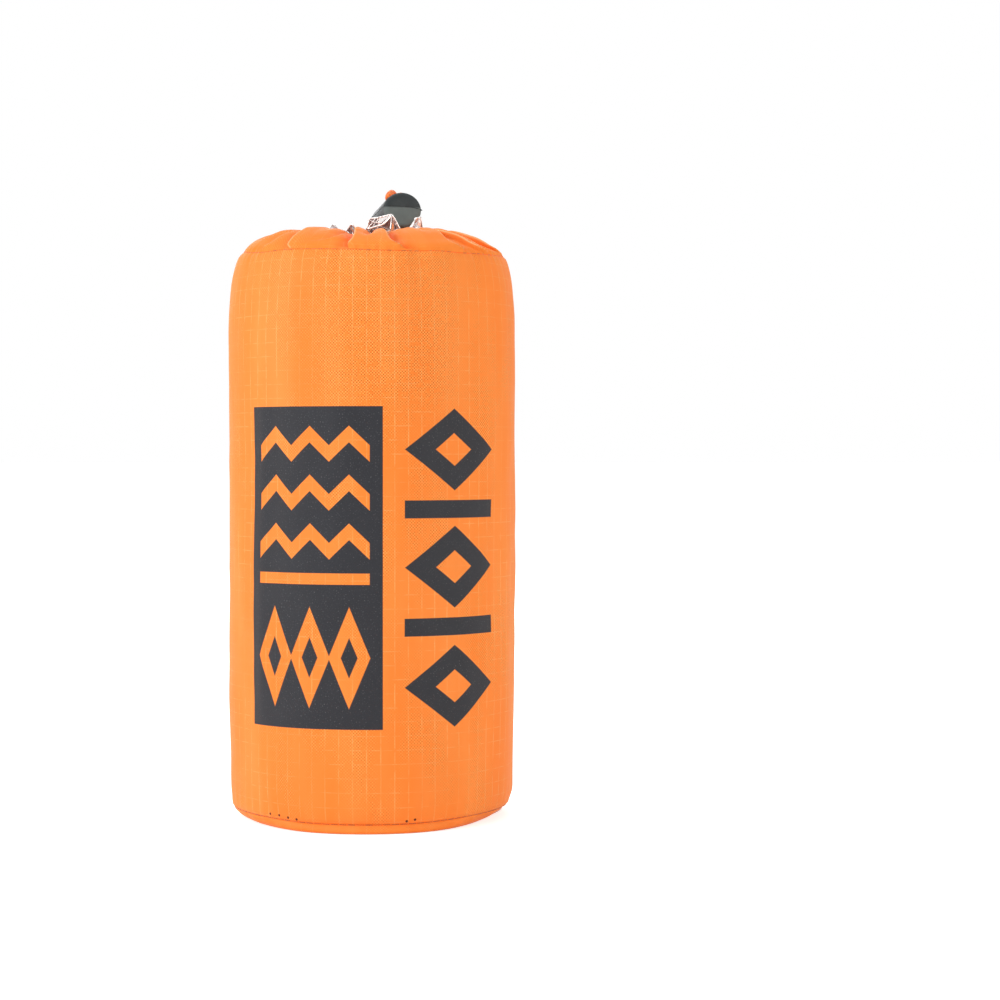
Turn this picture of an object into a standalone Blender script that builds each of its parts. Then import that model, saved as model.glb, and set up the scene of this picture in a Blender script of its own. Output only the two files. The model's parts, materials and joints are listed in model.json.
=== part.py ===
"""A packed emergency tent: a rolled film tent in a ripstop drawstring sack with a spring cord lock.

The sack stands on its round base at z = 0. Its axis is the Z axis and its front is towards -Y. The cord
lock lies on the back half of the gathered mouth, with its closed end towards the front.
Lengths are in metres, angles in degrees, and profiles are lists of (radius, height).
"""

import math

import bmesh
import bpy
from mathutils import Matrix, Vector

MM = 0.001

# Driving dimensions of the sack
WALL_RADIUS = 40.2 * MM
WALL_THICKNESS = 0.8 * MM
WALL_BOTTOM = 3.3 * MM
WALL_TOP = 156.0 * MM
BASE_RADIUS = 36.5 * MM
BASE_THICKNESS = 1.0 * MM
WELT_HEIGHT = 3.0 * MM
HEM_THICKNESS = 0.5 * MM
FILM_THICKNESS = 0.4 * MM
GAP = 0.3 * MM

# Driving dimensions of the sewing
THREAD_RADIUS = 0.25 * MM
BASE_ROW = (39.95 * MM, 3.15 * MM)
HEM_ROW = (38.45 * MM, 156.15 * MM)
SEAM_ANGLE = 104.0
SEAM_HALF_WIDTH = 6.5
SEAM_INSIDE = 38.7 * MM
SEAM_OUTSIDE = 39.0 * MM
SEAM_BOTTOM = 12.0 * MM
SEAM_TOP = 134.0 * MM
SEAM_THREAD = 0.3 * MM
SEAM_THREAD_RADIUS = 38.22 * MM
SEAM_THREAD_POINTS = 12

# Driving dimensions of the cord and its lock
CORD_DIAMETER = 2.2 * MM
HELD_SPACING = 2.0 * MM
FREE_SPACING = 2.4 * MM
STRAND_OFFSET = 1.27 * MM
STRAND_TOP = (4.45 * MM, 11.85 * MM)
BARREL_RADIUS = 5.2 * MM
BARREL_WIDTH_SHARE = 1.07
BARREL_HEIGHT_SHARE = 0.98
BARREL_LENGTH = 18.0 * MM
BARREL_FLOOR = 1.7 * MM
BORE_RADIUS = 3.95 * MM
STEM_RADIUS = 3.7 * MM
STEM_START = 7.6 * MM
STEM_END = 24.5 * MM
HEAD_RADIUS = 5.1 * MM
HEAD_HEIGHT = 2.4 * MM
HOLE_PLACE = 11.7 * MM
HOLE_NEAR = 8.6 * MM
HOLE_FAR = 13.8 * MM
HOLE_HALF_WIDTH = 2.8 * MM
SLOT_END = 22.9 * MM
SOCKET_RADIUS = 2.6 * MM
SOCKET_DEPTH = 1.6 * MM
SPRING_RADIUS = 1.9 * MM
SPRING_WIRE = 0.5 * MM
SPRING_TURNS = 4
SPRING_POINTS_A_TURN = 10

# Driving dimensions of the buttonhole, in the cord lock's frame: half its length and half its width
BUTTONHOLE_HALF = (2.75 * MM, 1.45 * MM)
BUTTONHOLE_EDGE = 0.65 * MM
BUTTONHOLE_LOW = -8.2 * MM
BUTTONHOLE_HIGH = -7.25 * MM

# Where the cord lock lies: the middle of its closed end, and the way that end looks
LOCK_PLACE = Vector((8.0, 14.0, 171.9)) * MM
LOCK_TURN = 75.0
LOCK_RISE = 7.0

# Mesh counts
ROUND_STEPS = 64
HEM_STEPS = 72
FILM_STEPS = 40
LOCK_STEPS = 32
SHARP_ANGLE = 40.0

# The valleys of the gathered hem: angle from +X, and depth
PLEATS = [
    (-165, 0.9 * MM),
    (-147.5, 0.8 * MM),
    (-126, 1.1 * MM),
    (-103, 1.4 * MM),
    (-90, 0.4 * MM),
    (-74.5, 1.7 * MM),
    (-56.5, 0.6 * MM),
    (-38, 1.2 * MM),
    (-16.5, 0.9 * MM),
    (6.5, 1.1 * MM),
    (27, 1.0 * MM),
    (46, 1.0 * MM),
    (118, 1.0 * MM),
    (135.5, 1.0 * MM),
    (154, 1.1 * MM),
    (175.5, 1.0 * MM),
]
PLEAT_WIDTH = 5.0
PLEAT_CROWN = 0.3 * MM
PLEATS_START = 37.0 * MM
PLEATS_FULL = 25.0 * MM

# The flatter place under the cord lock, and the fuller shoulder on the left
DENT_ANGLE = 79.0
DENT_WIDTH = 16.0
DENT_DEPTH = 0.9 * MM
SHOULDER_LEAN = 0.7 * MM
SHOULDER = (37.2 * MM, 33.0 * MM, 29.0 * MM, 23.0 * MM)

# The hem from its stitching over its crest, round the lip at the mouth and back underneath
HEM_PROFILE = [
    (37.5 * MM, 156.4 * MM),
    (36.0 * MM, 158.1 * MM),
    (32.4 * MM, 160.6 * MM),
    (29.0 * MM, 162.2 * MM),
    (25.5 * MM, 163.15 * MM),
    (22.0 * MM, 163.55 * MM),
    (18.6 * MM, 163.2 * MM),
    (16.5 * MM, 162.2 * MM),
    (16.0 * MM, 160.9 * MM),
    (16.7 * MM, 159.5 * MM),
    (19.2 * MM, 158.6 * MM),
    (24.0 * MM, 158.3 * MM),
    (29.5 * MM, 157.8 * MM),
    (33.6 * MM, 156.9 * MM),
    (36.2 * MM, 155.9 * MM),
]

# The cord in the channel: its plain circle, and the angle, radius and height of its two ways out
CHANNEL_RADIUS = 19.0 * MM
CHANNEL_HEIGHT = 160.8 * MM
CORD_FOLLOWS = 0.85
CHANNEL_ROUTE_IN = [
    (87.0, 22.9 * MM, 160.1 * MM),
    (94.5, 21.6 * MM, 160.2 * MM),
    (103.0, 20.1 * MM, 160.5 * MM),
]
CHANNEL_ROUTE_OUT = [
    (50.0, 21.2 * MM, 160.5 * MM),
    (59.0, 23.8 * MM, 160.1 * MM),
    (68.0, 25.9 * MM, 159.9 * MM),
]

# The free ends of the cord, from the lock over the back of the hem and down to the knot
KNOT_PLACE = Vector((2.8, 44.1, 110.5)) * MM
KNOT_SIZE = Vector((3.7, 3.3, 4.2)) * MM
KNOT_END_LENGTH = 12.0 * MM
KNOT_END_SPREAD = 9.0

# The first two points of each free end, in the cord lock's frame: along the cord, and along the lock
TAIL_LEFT_START = [(5.45 * MM, 12.05 * MM), (6.6 * MM, 12.55 * MM)]
TAIL_RIGHT_START = [(5.45 * MM, 12.05 * MM), (6.3 * MM, 12.65 * MM)]
TAIL_LEFT_ROUTE = [
    (3.9, 28.4, 177.95),
    (4.2, 30.3, 178.2),
    (4.5, 33.6, 177.8),
    (4.6, 37.8, 176.6),
    (4.5, 41.2, 174.0),
    (3.9, 43.6, 169.6),
    (3.1, 44.6, 163.0),
    (2.2, 44.3, 154.5),
    (1.0, 43.4, 145.0),
    (0.1, 42.7, 135.5),
    (0.2, 42.6, 126.5),
    (1.3, 43.3, 119.2),
    (1.6, 44.0, 114.9),
]
TAIL_RIGHT_ROUTE = [
    (6.6, 28.9, 177.25),
    (6.8, 30.6, 177.4),
    (7.0, 34.0, 176.9),
    (7.1, 38.0, 175.2),
    (7.2, 41.5, 171.8),
    (7.2, 43.5, 167.1),
    (7.1, 44.3, 160.5),
    (7.0, 44.0, 152.0),
    (6.7, 43.1, 142.5),
    (6.1, 42.5, 133.0),
    (5.4, 42.5, 124.8),
    (4.3, 43.4, 118.4),
    (4.1, 44.1, 114.9),
]

WALL_PROFILE = [
    (37.9 * MM, WALL_TOP),
    (38.7 * MM, 153.0 * MM),
    (39.4 * MM, 149.0 * MM),
    (39.9 * MM, 143.0 * MM),
    (WALL_RADIUS, 136.0 * MM),
    (WALL_RADIUS, 60.0 * MM),
    (WALL_RADIUS, 10.0 * MM),
    (39.9 * MM, 6.5 * MM),
    (39.3 * MM, WALL_BOTTOM),
]
BASE_PROFILE = [
    (0.0, BASE_THICKNESS),
    (BASE_RADIUS - GAP, BASE_THICKNESS),
    (BASE_RADIUS, BASE_THICKNESS - GAP),
    (BASE_RADIUS, 0.0),
    (0.0, 0.0),
]
WELT_PROFILE = [
    (36.9 * MM, WELT_HEIGHT),
    (38.8 * MM, WELT_HEIGHT),
    (39.4 * MM, 2.4 * MM),
    (39.6 * MM, 1.5 * MM),
    (39.3 * MM, 0.6 * MM),
    (38.6 * MM, 0.0),
    (36.9 * MM, 0.0),
]
FILM_NECK_START = 152.0 * MM
FILM_NECK = 161.0 * MM
FILM_RIM = 166.6 * MM
FILM_PROFILE = [
    (12.4 * MM, FILM_RIM),
    (10.8 * MM, 163.5 * MM),
    (10.2 * MM, 160.0 * MM),
    (11.5 * MM, 156.3 * MM),
    (16.0 * MM, 153.6 * MM),
    (25.0 * MM, 152.1 * MM),
    (32.6 * MM, 150.2 * MM),
    (36.4 * MM, 147.0 * MM),
    (37.4 * MM, 140.0 * MM),
    (37.4 * MM, 7.5 * MM),
    (36.4 * MM, 4.4 * MM),
    (35.2 * MM, 1.7 * MM),
    (0.0, 1.7 * MM),
]
ROLL_PROFILE = [
    (0.0, 149.2 * MM),
    (31.0 * MM, 148.6 * MM),
    (35.0 * MM, 145.4 * MM),
    (36.7 * MM, 138.0 * MM),
    (36.9 * MM, 70.0 * MM),
    (36.7 * MM, 9.0 * MM),
    (35.7 * MM, 5.2 * MM),
    (34.2 * MM, 2.5 * MM),
    (0.0, 2.5 * MM),
]


# Materials


def finish(name, colour, roughness, metallic=0.0, alpha=1.0):
    """A Principled material with one colour."""
    made = bpy.data.materials.new(name)
    made.use_nodes = True
    shader = made.node_tree.nodes["Principled BSDF"]
    shader.inputs["Base Color"].default_value = (*colour, 1.0)
    shader.inputs["Roughness"].default_value = roughness
    shader.inputs["Metallic"].default_value = metallic
    shader.inputs["Alpha"].default_value = alpha
    return made


def ripstop(name):
    return finish(name, (1.0, 0.26, 0.05), 0.55)


def thread(name):
    return finish(name, (0.86, 0.20, 0.04), 0.7)


def braid(name):
    return finish(name, (1.0, 0.15, 0.01), 0.6)


def black_plastic(name):
    return finish(name, (0.03, 0.032, 0.033), 0.42)


# Objects and modifiers


def collection(name):
    made = bpy.data.collections.new(name)
    bpy.context.scene.collection.children.link(made)
    return made


def add_piece(name, data, material):
    """An object of the tent, with its own material."""
    piece = bpy.data.objects.new(name, data)
    bpy.data.collections["packed_tent"].objects.link(piece)
    data.materials.append(material)
    return piece


def add_helper(name, data):
    """A shape that cuts or joins a piece and isn't one itself."""
    helper = bpy.data.objects.new(name, data)
    bpy.data.collections["cutters"].objects.link(helper)
    helper.hide_render = True
    helper.display_type = "WIRE"
    return helper


def turn_about_axis(piece, steps):
    """Turn the piece's profile about its own Z axis."""
    screw = piece.modifiers.new("turn", "SCREW")
    screw.steps = steps
    screw.render_steps = steps
    screw.use_merge_vertices = True
    screw.merge_threshold = 0.000001


def solidify(piece, thickness, offset):
    shell = piece.modifiers.new("thickness", "SOLIDIFY")
    shell.thickness = thickness
    shell.offset = offset


def bevel(item, width, segments):
    edge = item.modifiers.new("edges", "BEVEL")
    edge.width = width
    edge.segments = segments


def combine(piece, helper, operation):
    """Cut the helper's shape out of the piece, or join it on."""
    boolean = piece.modifiers.new(helper.name, "BOOLEAN")
    boolean.operation = operation
    boolean.object = helper


def settle(piece):
    """Apply the modifiers of a mesh and shade it smooth, apart from its sharp edges."""
    evaluated = piece.evaluated_get(bpy.context.evaluated_depsgraph_get())
    mesh = bpy.data.meshes.new_from_object(evaluated)
    piece.modifiers.clear()
    piece.data = mesh
    mesh.shade_smooth()
    mesh.set_sharp_from_angle(angle=math.radians(SHARP_ANGLE))


# Shapes


def finished_mesh(name, shape):
    """The mesh of a bmesh, which is freed."""
    mesh = bpy.data.meshes.new(name)
    shape.to_mesh(mesh)
    shape.free()
    return mesh


def profile_mesh(name, profile, closed=False):
    """A profile of (radius, height) as edges in the XZ plane."""
    count = len(profile)
    edges = [(i, i + 1) for i in range(count - 1)]
    if closed:
        edges.append((count - 1, 0))
    mesh = bpy.data.meshes.new(name)
    mesh.from_pydata([(radius, 0.0, height) for radius, height in profile], edges, [])
    return mesh


def turned(name, profile, steps, material, closed=False):
    piece = add_piece(name, profile_mesh(name, profile, closed), material)
    turn_about_axis(piece, steps)
    return piece


def spun_surface(name, profile, steps, move):
    """A mesh of an open profile spun about the Z axis, each point then moved by a function."""
    shape = bmesh.new()
    points = [shape.verts.new((radius, 0.0, height)) for radius, height in profile]
    edges = [shape.edges.new((a, b)) for a, b in zip(points, points[1:])]
    bmesh.ops.spin(
        shape,
        geom=points + edges,
        axis=(0.0, 0.0, 1.0),
        cent=(0.0, 0.0, 0.0),
        angle=math.tau,
        steps=steps,
        use_merge=True,
    )
    bmesh.ops.remove_doubles(shape, verts=shape.verts, dist=0.000001)
    for point in shape.verts:
        point.co = move(point.co)
    bmesh.ops.recalc_face_normals(shape, faces=shape.faces)
    return finished_mesh(name, shape)


def box_mesh(name, low, high):
    """A box from its lowest and highest corners."""
    shape = bmesh.new()
    bmesh.ops.create_cube(shape, size=1.0)
    middle = (Vector(low) + Vector(high)) / 2
    size = Vector(high) - Vector(low)
    for point in shape.verts:
        point.co = middle + Vector(a * b for a, b in zip(point.co, size))
    return finished_mesh(name, shape)


def lock_box(name, half_width, bottom, top, near, far):
    """A box in the cord lock's frame, that cuts a piece."""
    helper = add_helper(name, box_mesh(name, (-half_width, bottom, near), (half_width, top, far)))
    helper.parent = bpy.data.objects["lock_axis"]
    return helper


def smooth_route(points, spacing):
    """Points an even spacing apart on a smooth curve through the route's own points."""
    route = [Vector(p) for p in points]
    ends = [2 * route[0] - route[1]] + route + [2 * route[-1] - route[-2]]
    dense = []
    for before, start, stop, after in zip(ends, ends[1:], ends[2:], ends[3:]):
        for step in range(24):
            t = step / 24
            linear = (stop - before) * t
            square = (2 * before - 5 * start + 4 * stop - after) * t**2
            cube = (3 * start - before - 3 * stop + after) * t**3
            dense.append(0.5 * (2 * start + linear + square + cube))
    dense.append(route[-1])
    along = [0.0]
    for a, b in zip(dense, dense[1:]):
        along.append(along[-1] + (b - a).length)
    count = max(2, round(along[-1] / spacing))
    even = []
    reached = 0
    for step in range(count + 1):
        wanted = along[-1] * step / count
        while reached < len(along) - 2 and along[reached + 1] < wanted:
            reached += 1
        share = (wanted - along[reached]) / (along[reached + 1] - along[reached])
        even.append(dense[reached].lerp(dense[reached + 1], share))
    return even


def tube(name, points, diameter, resolution, material):
    """A round tube with filled ends along a list of points."""
    curve = bpy.data.curves.new(name, "CURVE")
    curve.dimensions = "3D"
    curve.bevel_depth = diameter / 2
    curve.bevel_resolution = resolution
    curve.resolution_u = 1
    curve.use_fill_caps = True
    spline = curve.splines.new("POLY")
    spline.points.add(len(points) - 1)
    for target, point in zip(spline.points, points):
        target.co = (*point, 1.0)
    return add_piece(name, curve, material)


# The folds of the mouth


def on_circle(angle, radius, height):
    turn = math.radians(angle)
    return Vector((radius * math.cos(turn), radius * math.sin(turn), height))


def blend_in(value, start, full):
    """A smooth step from 0 at start to 1 at full."""
    share = min(1.0, max(0.0, (value - start) / (full - start)))
    return share * share * (3 - 2 * share)


def bump(angle, middle, width):
    """1 at the middle angle and falling away on both sides."""
    away = (angle - middle + 180.0) % 360.0 - 180.0
    return math.exp(-0.5 * (away / width) ** 2)


def pleat_height(angle):
    """How far the gathered hem lies above its plain profile."""
    height = PLEAT_CROWN - DENT_DEPTH * bump(angle, DENT_ANGLE, DENT_WIDTH)
    for middle, depth in PLEATS:
        height -= depth * bump(angle, middle, PLEAT_WIDTH)
    return height


def gathered(point, follow=1.0):
    """The place of a point of the plain hem once the mouth is drawn in."""
    radius = math.hypot(point.x, point.y)
    turn = math.atan2(point.y, point.x)
    pleats = follow * blend_in(radius, PLEATS_START, PLEATS_FULL) * pleat_height(math.degrees(turn))
    rise, full, fall, end = SHOULDER
    shoulder = blend_in(radius, rise, full) * (1.0 - blend_in(radius, fall, end))
    return point + Vector((0.0, 0.0, pleats - SHOULDER_LEAN * shoulder * math.cos(turn)))


def crumpled(point):
    """The place of a point of the plain film bag once its neck is bunched up in the mouth."""
    angle = math.atan2(point.y, point.x)
    neck = blend_in(point.z, FILM_NECK_START, FILM_NECK)
    rim = blend_in(point.z, FILM_NECK, FILM_RIM)
    folds = 0.8 * math.cos(7 * angle + 2.2) + 0.5 * math.sin(3 * angle)
    peaks = 1.3 * math.cos(7 * angle + 0.6) - 0.5 * math.sin(2 * angle)
    outward = Vector((math.cos(angle), math.sin(angle), 0.0))
    return point + outward * neck * folds * MM + Vector((0.0, 0.0, rim * peaks * MM))


# The sack


def make_wall():
    """The woven panel, as a tube that narrows to the hem's stitching."""
    inner = [(radius - WALL_THICKNESS, height) for radius, height in WALL_PROFILE]
    inner[0] = (inner[0][0], WALL_TOP - GAP)
    profile = WALL_PROFILE + inner[::-1]
    return turned("sack_wall", profile, ROUND_STEPS, ripstop("sack wall"), closed=True)


def make_base():
    return turned("sack_base", BASE_PROFILE, ROUND_STEPS, ripstop("sack base"))


def make_welt():
    """The turned seam between the wall and the base."""
    return turned("base_welt", WELT_PROFILE, ROUND_STEPS, ripstop("base welt"), closed=True)


def make_hem():
    """The folded hem, gathered into pleats, with the slot that lets the cord out."""
    mesh = spun_surface("hem_channel", HEM_PROFILE, HEM_STEPS, gathered)
    hem = add_piece("hem_channel", mesh, ripstop("hem"))
    solidify(hem, HEM_THICKNESS, 0.0)
    half_length, half_width = (size + BUTTONHOLE_EDGE + GAP for size in BUTTONHOLE_HALF)
    near = HOLE_PLACE - half_width
    far = HOLE_PLACE + half_width
    slot = lock_box("buttonhole_slot", half_length, BUTTONHOLE_LOW - 1.5 * MM, -2.0 * MM, near, far)
    combine(hem, slot, "DIFFERENCE")
    return hem


def make_buttonhole_edge():
    """The sewn edge of the slot where the cord leaves the channel: a flat ring in the slot."""
    half_length, half_width = BUTTONHOLE_HALF
    outer_length = half_length + BUTTONHOLE_EDGE
    outer_width = half_width + BUTTONHOLE_EDGE
    low = (-outer_length, BUTTONHOLE_LOW, HOLE_PLACE - outer_width)
    high = (outer_length, BUTTONHOLE_HIGH, HOLE_PLACE + outer_width)
    mesh = box_mesh("buttonhole_edge", low, high)
    edge = add_piece("buttonhole_edge", mesh, thread("buttonhole edge"))
    edge.parent = bpy.data.objects["lock_axis"]
    bevel(edge, 0.2 * MM, 1)
    near = HOLE_PLACE - half_width
    far = HOLE_PLACE + half_width
    inside = lock_box("buttonhole_inside", half_length, 2 * BUTTONHOLE_LOW, 0.0, near, far)
    combine(edge, inside, "DIFFERENCE")
    return edge


def make_side_seam():
    """The two folded edges of the wall panel, flat against its inside."""
    shape = bmesh.new()
    start = SEAM_ANGLE - SEAM_HALF_WIDTH
    corners = [
        on_circle(start, SEAM_INSIDE, SEAM_BOTTOM),
        on_circle(start, SEAM_OUTSIDE, SEAM_BOTTOM),
        on_circle(start, SEAM_OUTSIDE, SEAM_TOP),
        on_circle(start, SEAM_INSIDE, SEAM_TOP),
    ]
    strip = shape.faces.new([shape.verts.new(corner) for corner in corners])
    bmesh.ops.spin(
        shape,
        geom=[strip],
        axis=(0.0, 0.0, 1.0),
        cent=(0.0, 0.0, 0.0),
        angle=math.radians(2 * SEAM_HALF_WIDTH),
        steps=6,
        use_duplicate=False,
    )
    bmesh.ops.recalc_face_normals(shape, faces=shape.faces)
    mesh = finished_mesh("side_seam_allowance", shape)
    return add_piece("side_seam_allowance", mesh, ripstop("side seam allowance"))


def make_seam_thread():
    """The thread of the side seam, on the inner side of the folded edges."""
    low = SEAM_BOTTOM + 2.0 * MM
    step = (SEAM_TOP - SEAM_BOTTOM - 4.0 * MM) / (SEAM_THREAD_POINTS - 1)
    heights = [low + step * i for i in range(SEAM_THREAD_POINTS)]
    points = [on_circle(SEAM_ANGLE, SEAM_THREAD_RADIUS, height) for height in heights]
    tube("side_seam_thread", points, SEAM_THREAD, 1, thread("side seam thread"))


def make_stitching(name, row):
    """One row of thread all round the sack."""
    radius, height = row
    profile = []
    for corner in range(5):
        angle = math.tau * corner / 5
        profile.append((radius + THREAD_RADIUS * math.cos(angle), height - THREAD_RADIUS * math.sin(angle)))
    return turned(name, profile, ROUND_STEPS, thread(name.replace("_", " ")), closed=True)


# What the sack holds


def make_inner_bag():
    """The film bag round the tent, open at its crumpled neck."""
    clear = finish("clear film", (0.95, 0.9, 0.88), 0.1, 0.0, 0.35)
    mesh = spun_surface("inner_bag", FILM_PROFILE, FILM_STEPS, crumpled)
    film = add_piece("inner_bag", mesh, clear)
    solidify(film, FILM_THICKNESS, -1.0)
    return film


def make_tent_roll():
    film = finish("tent film", (0.85, 0.22, 0.06), 0.35)
    return turned("tent_roll", ROLL_PROFILE, ROUND_STEPS, film)


# The cord lock. Its frame's Z runs from the closed end to the plunger's head, and its Y along the cord


def lock_matrix():
    turn = math.radians(LOCK_TURN)
    rise = math.radians(LOCK_RISE)
    looks = Vector((math.cos(rise) * math.cos(turn), -math.cos(rise) * math.sin(turn), math.sin(rise)))
    along_cord = (Vector((0.0, 0.0, 1.0)) - looks.z * looks).normalized()
    across = looks.cross(along_cord)
    frame = Matrix((across, along_cord, -looks)).transposed().to_4x4()
    frame.translation = LOCK_PLACE
    return frame


def add_lock_axis():
    """The empty that carries the cord lock, on the axis of its plunger."""
    axis = bpy.data.objects.new("lock_axis", None)
    axis.empty_display_size = BARREL_RADIUS
    axis.matrix_world = lock_matrix()
    bpy.data.collections["packed_tent"].objects.link(axis)


def oval(point):
    """The place of a point of the round barrel once its outside is wider than high. Its bore stays round."""
    if math.hypot(point.x, point.y) < (BORE_RADIUS + BARREL_RADIUS) / 2:
        return point
    return Vector((BARREL_WIDTH_SHARE * point.x, BARREL_HEIGHT_SHARE * point.y, point.z))


def make_barrel():
    profile = [
        (0.0, BARREL_FLOOR),
        (BORE_RADIUS, BARREL_FLOOR),
        (BORE_RADIUS, BARREL_LENGTH),
        (BARREL_RADIUS - 0.4 * MM, BARREL_LENGTH),
        (BARREL_RADIUS, BARREL_LENGTH - 0.4 * MM),
        (BARREL_RADIUS, 1.0 * MM),
        (BARREL_RADIUS - 0.2 * MM, 0.3 * MM),
        (BARREL_RADIUS - 0.6 * MM, 0.0),
        (0.0, 0.0),
    ]
    mesh = spun_surface("lock_barrel", profile, LOCK_STEPS, oval)
    barrel = add_piece("lock_barrel", mesh, black_plastic("lock barrel"))
    barrel.parent = bpy.data.objects["lock_axis"]
    reach = 1.5 * BARREL_RADIUS
    hole = lock_box("cord_hole", HOLE_HALF_WIDTH, -reach, reach, HOLE_NEAR, HOLE_FAR)
    bevel(hole, 0.6 * MM, 2)
    combine(barrel, hole, "DIFFERENCE")
    return barrel


def make_plunger():
    """The stem, slotted for the cord and hollow for the spring, with its mushroom head."""
    top = STEM_END + HEAD_HEIGHT
    profile = [
        (0.0, top),
        (2.6 * MM, top - 0.25 * MM),
        (4.3 * MM, top - 0.9 * MM),
        (HEAD_RADIUS, top - 1.7 * MM),
        (HEAD_RADIUS, STEM_END + 0.2 * MM),
        (HEAD_RADIUS - 0.3 * MM, STEM_END),
        (STEM_RADIUS, STEM_END),
        (STEM_RADIUS, STEM_START + 0.3 * MM),
        (STEM_RADIUS - 0.3 * MM, STEM_START),
        (SOCKET_RADIUS, STEM_START),
        (SOCKET_RADIUS, STEM_START + SOCKET_DEPTH),
        (0.0, STEM_START + SOCKET_DEPTH),
    ]
    plunger = turned("lock_plunger", profile, LOCK_STEPS, black_plastic("lock plunger"))
    plunger.parent = bpy.data.objects["lock_axis"]
    near = HOLE_PLACE - CORD_DIAMETER / 2 - GAP
    reach = 1.5 * BARREL_RADIUS
    slot = lock_box("stem_slot", HOLE_HALF_WIDTH, -reach, reach, near, SLOT_END)
    combine(plunger, slot, "DIFFERENCE")
    return plunger


def make_spring():
    """Turns of wire between the barrel's floor and the socket in the plunger's stem."""
    start = BARREL_FLOOR + SPRING_WIRE / 2 + GAP
    stop = STEM_START + SOCKET_DEPTH - SPRING_WIRE / 2 - GAP
    count = SPRING_TURNS * SPRING_POINTS_A_TURN
    points = []
    for step in range(count + 1):
        angle = 360.0 * step / SPRING_POINTS_A_TURN
        points.append(on_circle(angle, SPRING_RADIUS, start + (stop - start) * step / count))
    steel = finish("spring steel", (0.62, 0.62, 0.6), 0.3, 1.0)
    spring = tube("lock_spring", points, SPRING_WIRE, 1, steel)
    spring.parent = bpy.data.objects["lock_axis"]


# The cord


def in_lock(side, along, place=HOLE_PLACE):
    """A point of one of the two strands in the lock: side is 1 for the left one and -1 for the right."""
    return lock_matrix() @ Vector((side * STRAND_OFFSET, along, place))


def in_channel(angle, radius, height):
    """A point of the cord in the channel, raised and lowered with the pleats."""
    return gathered(on_circle(angle, radius, height), CORD_FOLLOWS)


def make_held_cord():
    """The cord's held part: down from the lock, once round the channel and up into the lock again."""
    places = [STRAND_TOP]
    places += [(depth * MM, HOLE_PLACE) for depth in (2.5, 0.0, -3.0, -6.0, -8.5)]
    route = [in_lock(1, *place) for place in places]
    route += [in_channel(*place) for place in CHANNEL_ROUTE_IN]
    route += [in_channel(angle, CHANNEL_RADIUS, CHANNEL_HEIGHT) for angle in range(112, 404, 8)]
    route += [in_channel(*place) for place in CHANNEL_ROUTE_OUT]
    route += [in_lock(-1, *place) for place in reversed(places)]
    points = smooth_route(route, HELD_SPACING)
    tube("drawcord", points, CORD_DIAMETER, 2, braid("drawcord"))


def make_tail(name, side, start, route):
    """One free end of the cord, from the lock to the knot."""
    points = [in_lock(side, *place) for place in start]
    points += [Vector(place) * MM for place in route]
    even = smooth_route(points, FREE_SPACING)
    length = sum((b - a).length for a, b in zip(even, even[1:]))
    print(f"{name} is {length / MM:.1f} mm long")
    tube(name, even, CORD_DIAMETER, 2, braid(name.replace("_", " ")))


def make_knot():
    """The knot of both tails, with their two cut ends below it."""
    shape = bmesh.new()
    bmesh.ops.create_uvsphere(shape, u_segments=16, v_segments=10, radius=1.0)
    for point in shape.verts:
        point.co = Vector(a * b for a, b in zip(point.co, KNOT_SIZE))
    knot = add_piece("tail_knot", finished_mesh("tail_knot", shape), braid("tail knot"))
    knot.location = KNOT_PLACE
    for side in (-1, 1):
        shape = bmesh.new()
        bmesh.ops.create_cone(
            shape,
            cap_ends=True,
            segments=8,
            radius1=CORD_DIAMETER / 2,
            radius2=CORD_DIAMETER / 2,
            depth=KNOT_END_LENGTH,
        )
        name = "knot_end_left" if side < 0 else "knot_end_right"
        end = add_helper(name, finished_mesh(name, shape))
        end.location = KNOT_PLACE + Vector((1.9 * MM * side, 0.0, -KNOT_END_LENGTH / 2 - MM))
        end.rotation_euler = (0.0, -side * math.radians(KNOT_END_SPREAD), 0.0)
        combine(knot, end, "UNION")
    return knot


def main():
    for item in list(bpy.data.objects):
        bpy.data.objects.remove(item)
    collection("packed_tent")
    collection("cutters")
    add_lock_axis()
    pieces = [
        make_wall(),
        make_base(),
        make_welt(),
        make_hem(),
        make_buttonhole_edge(),
        make_side_seam(),
        make_stitching("base_stitching", BASE_ROW),
        make_stitching("hem_stitching", HEM_ROW),
        make_inner_bag(),
        make_tent_roll(),
        make_barrel(),
        make_plunger(),
        make_knot(),
    ]
    make_seam_thread()
    make_spring()
    make_held_cord()
    make_tail("drawcord_tail_left", 1, TAIL_LEFT_START, TAIL_LEFT_ROUTE)
    make_tail("drawcord_tail_right", -1, TAIL_RIGHT_START, TAIL_RIGHT_ROUTE)
    bpy.context.view_layer.update()
    for piece in pieces:
        settle(piece)


main()
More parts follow.
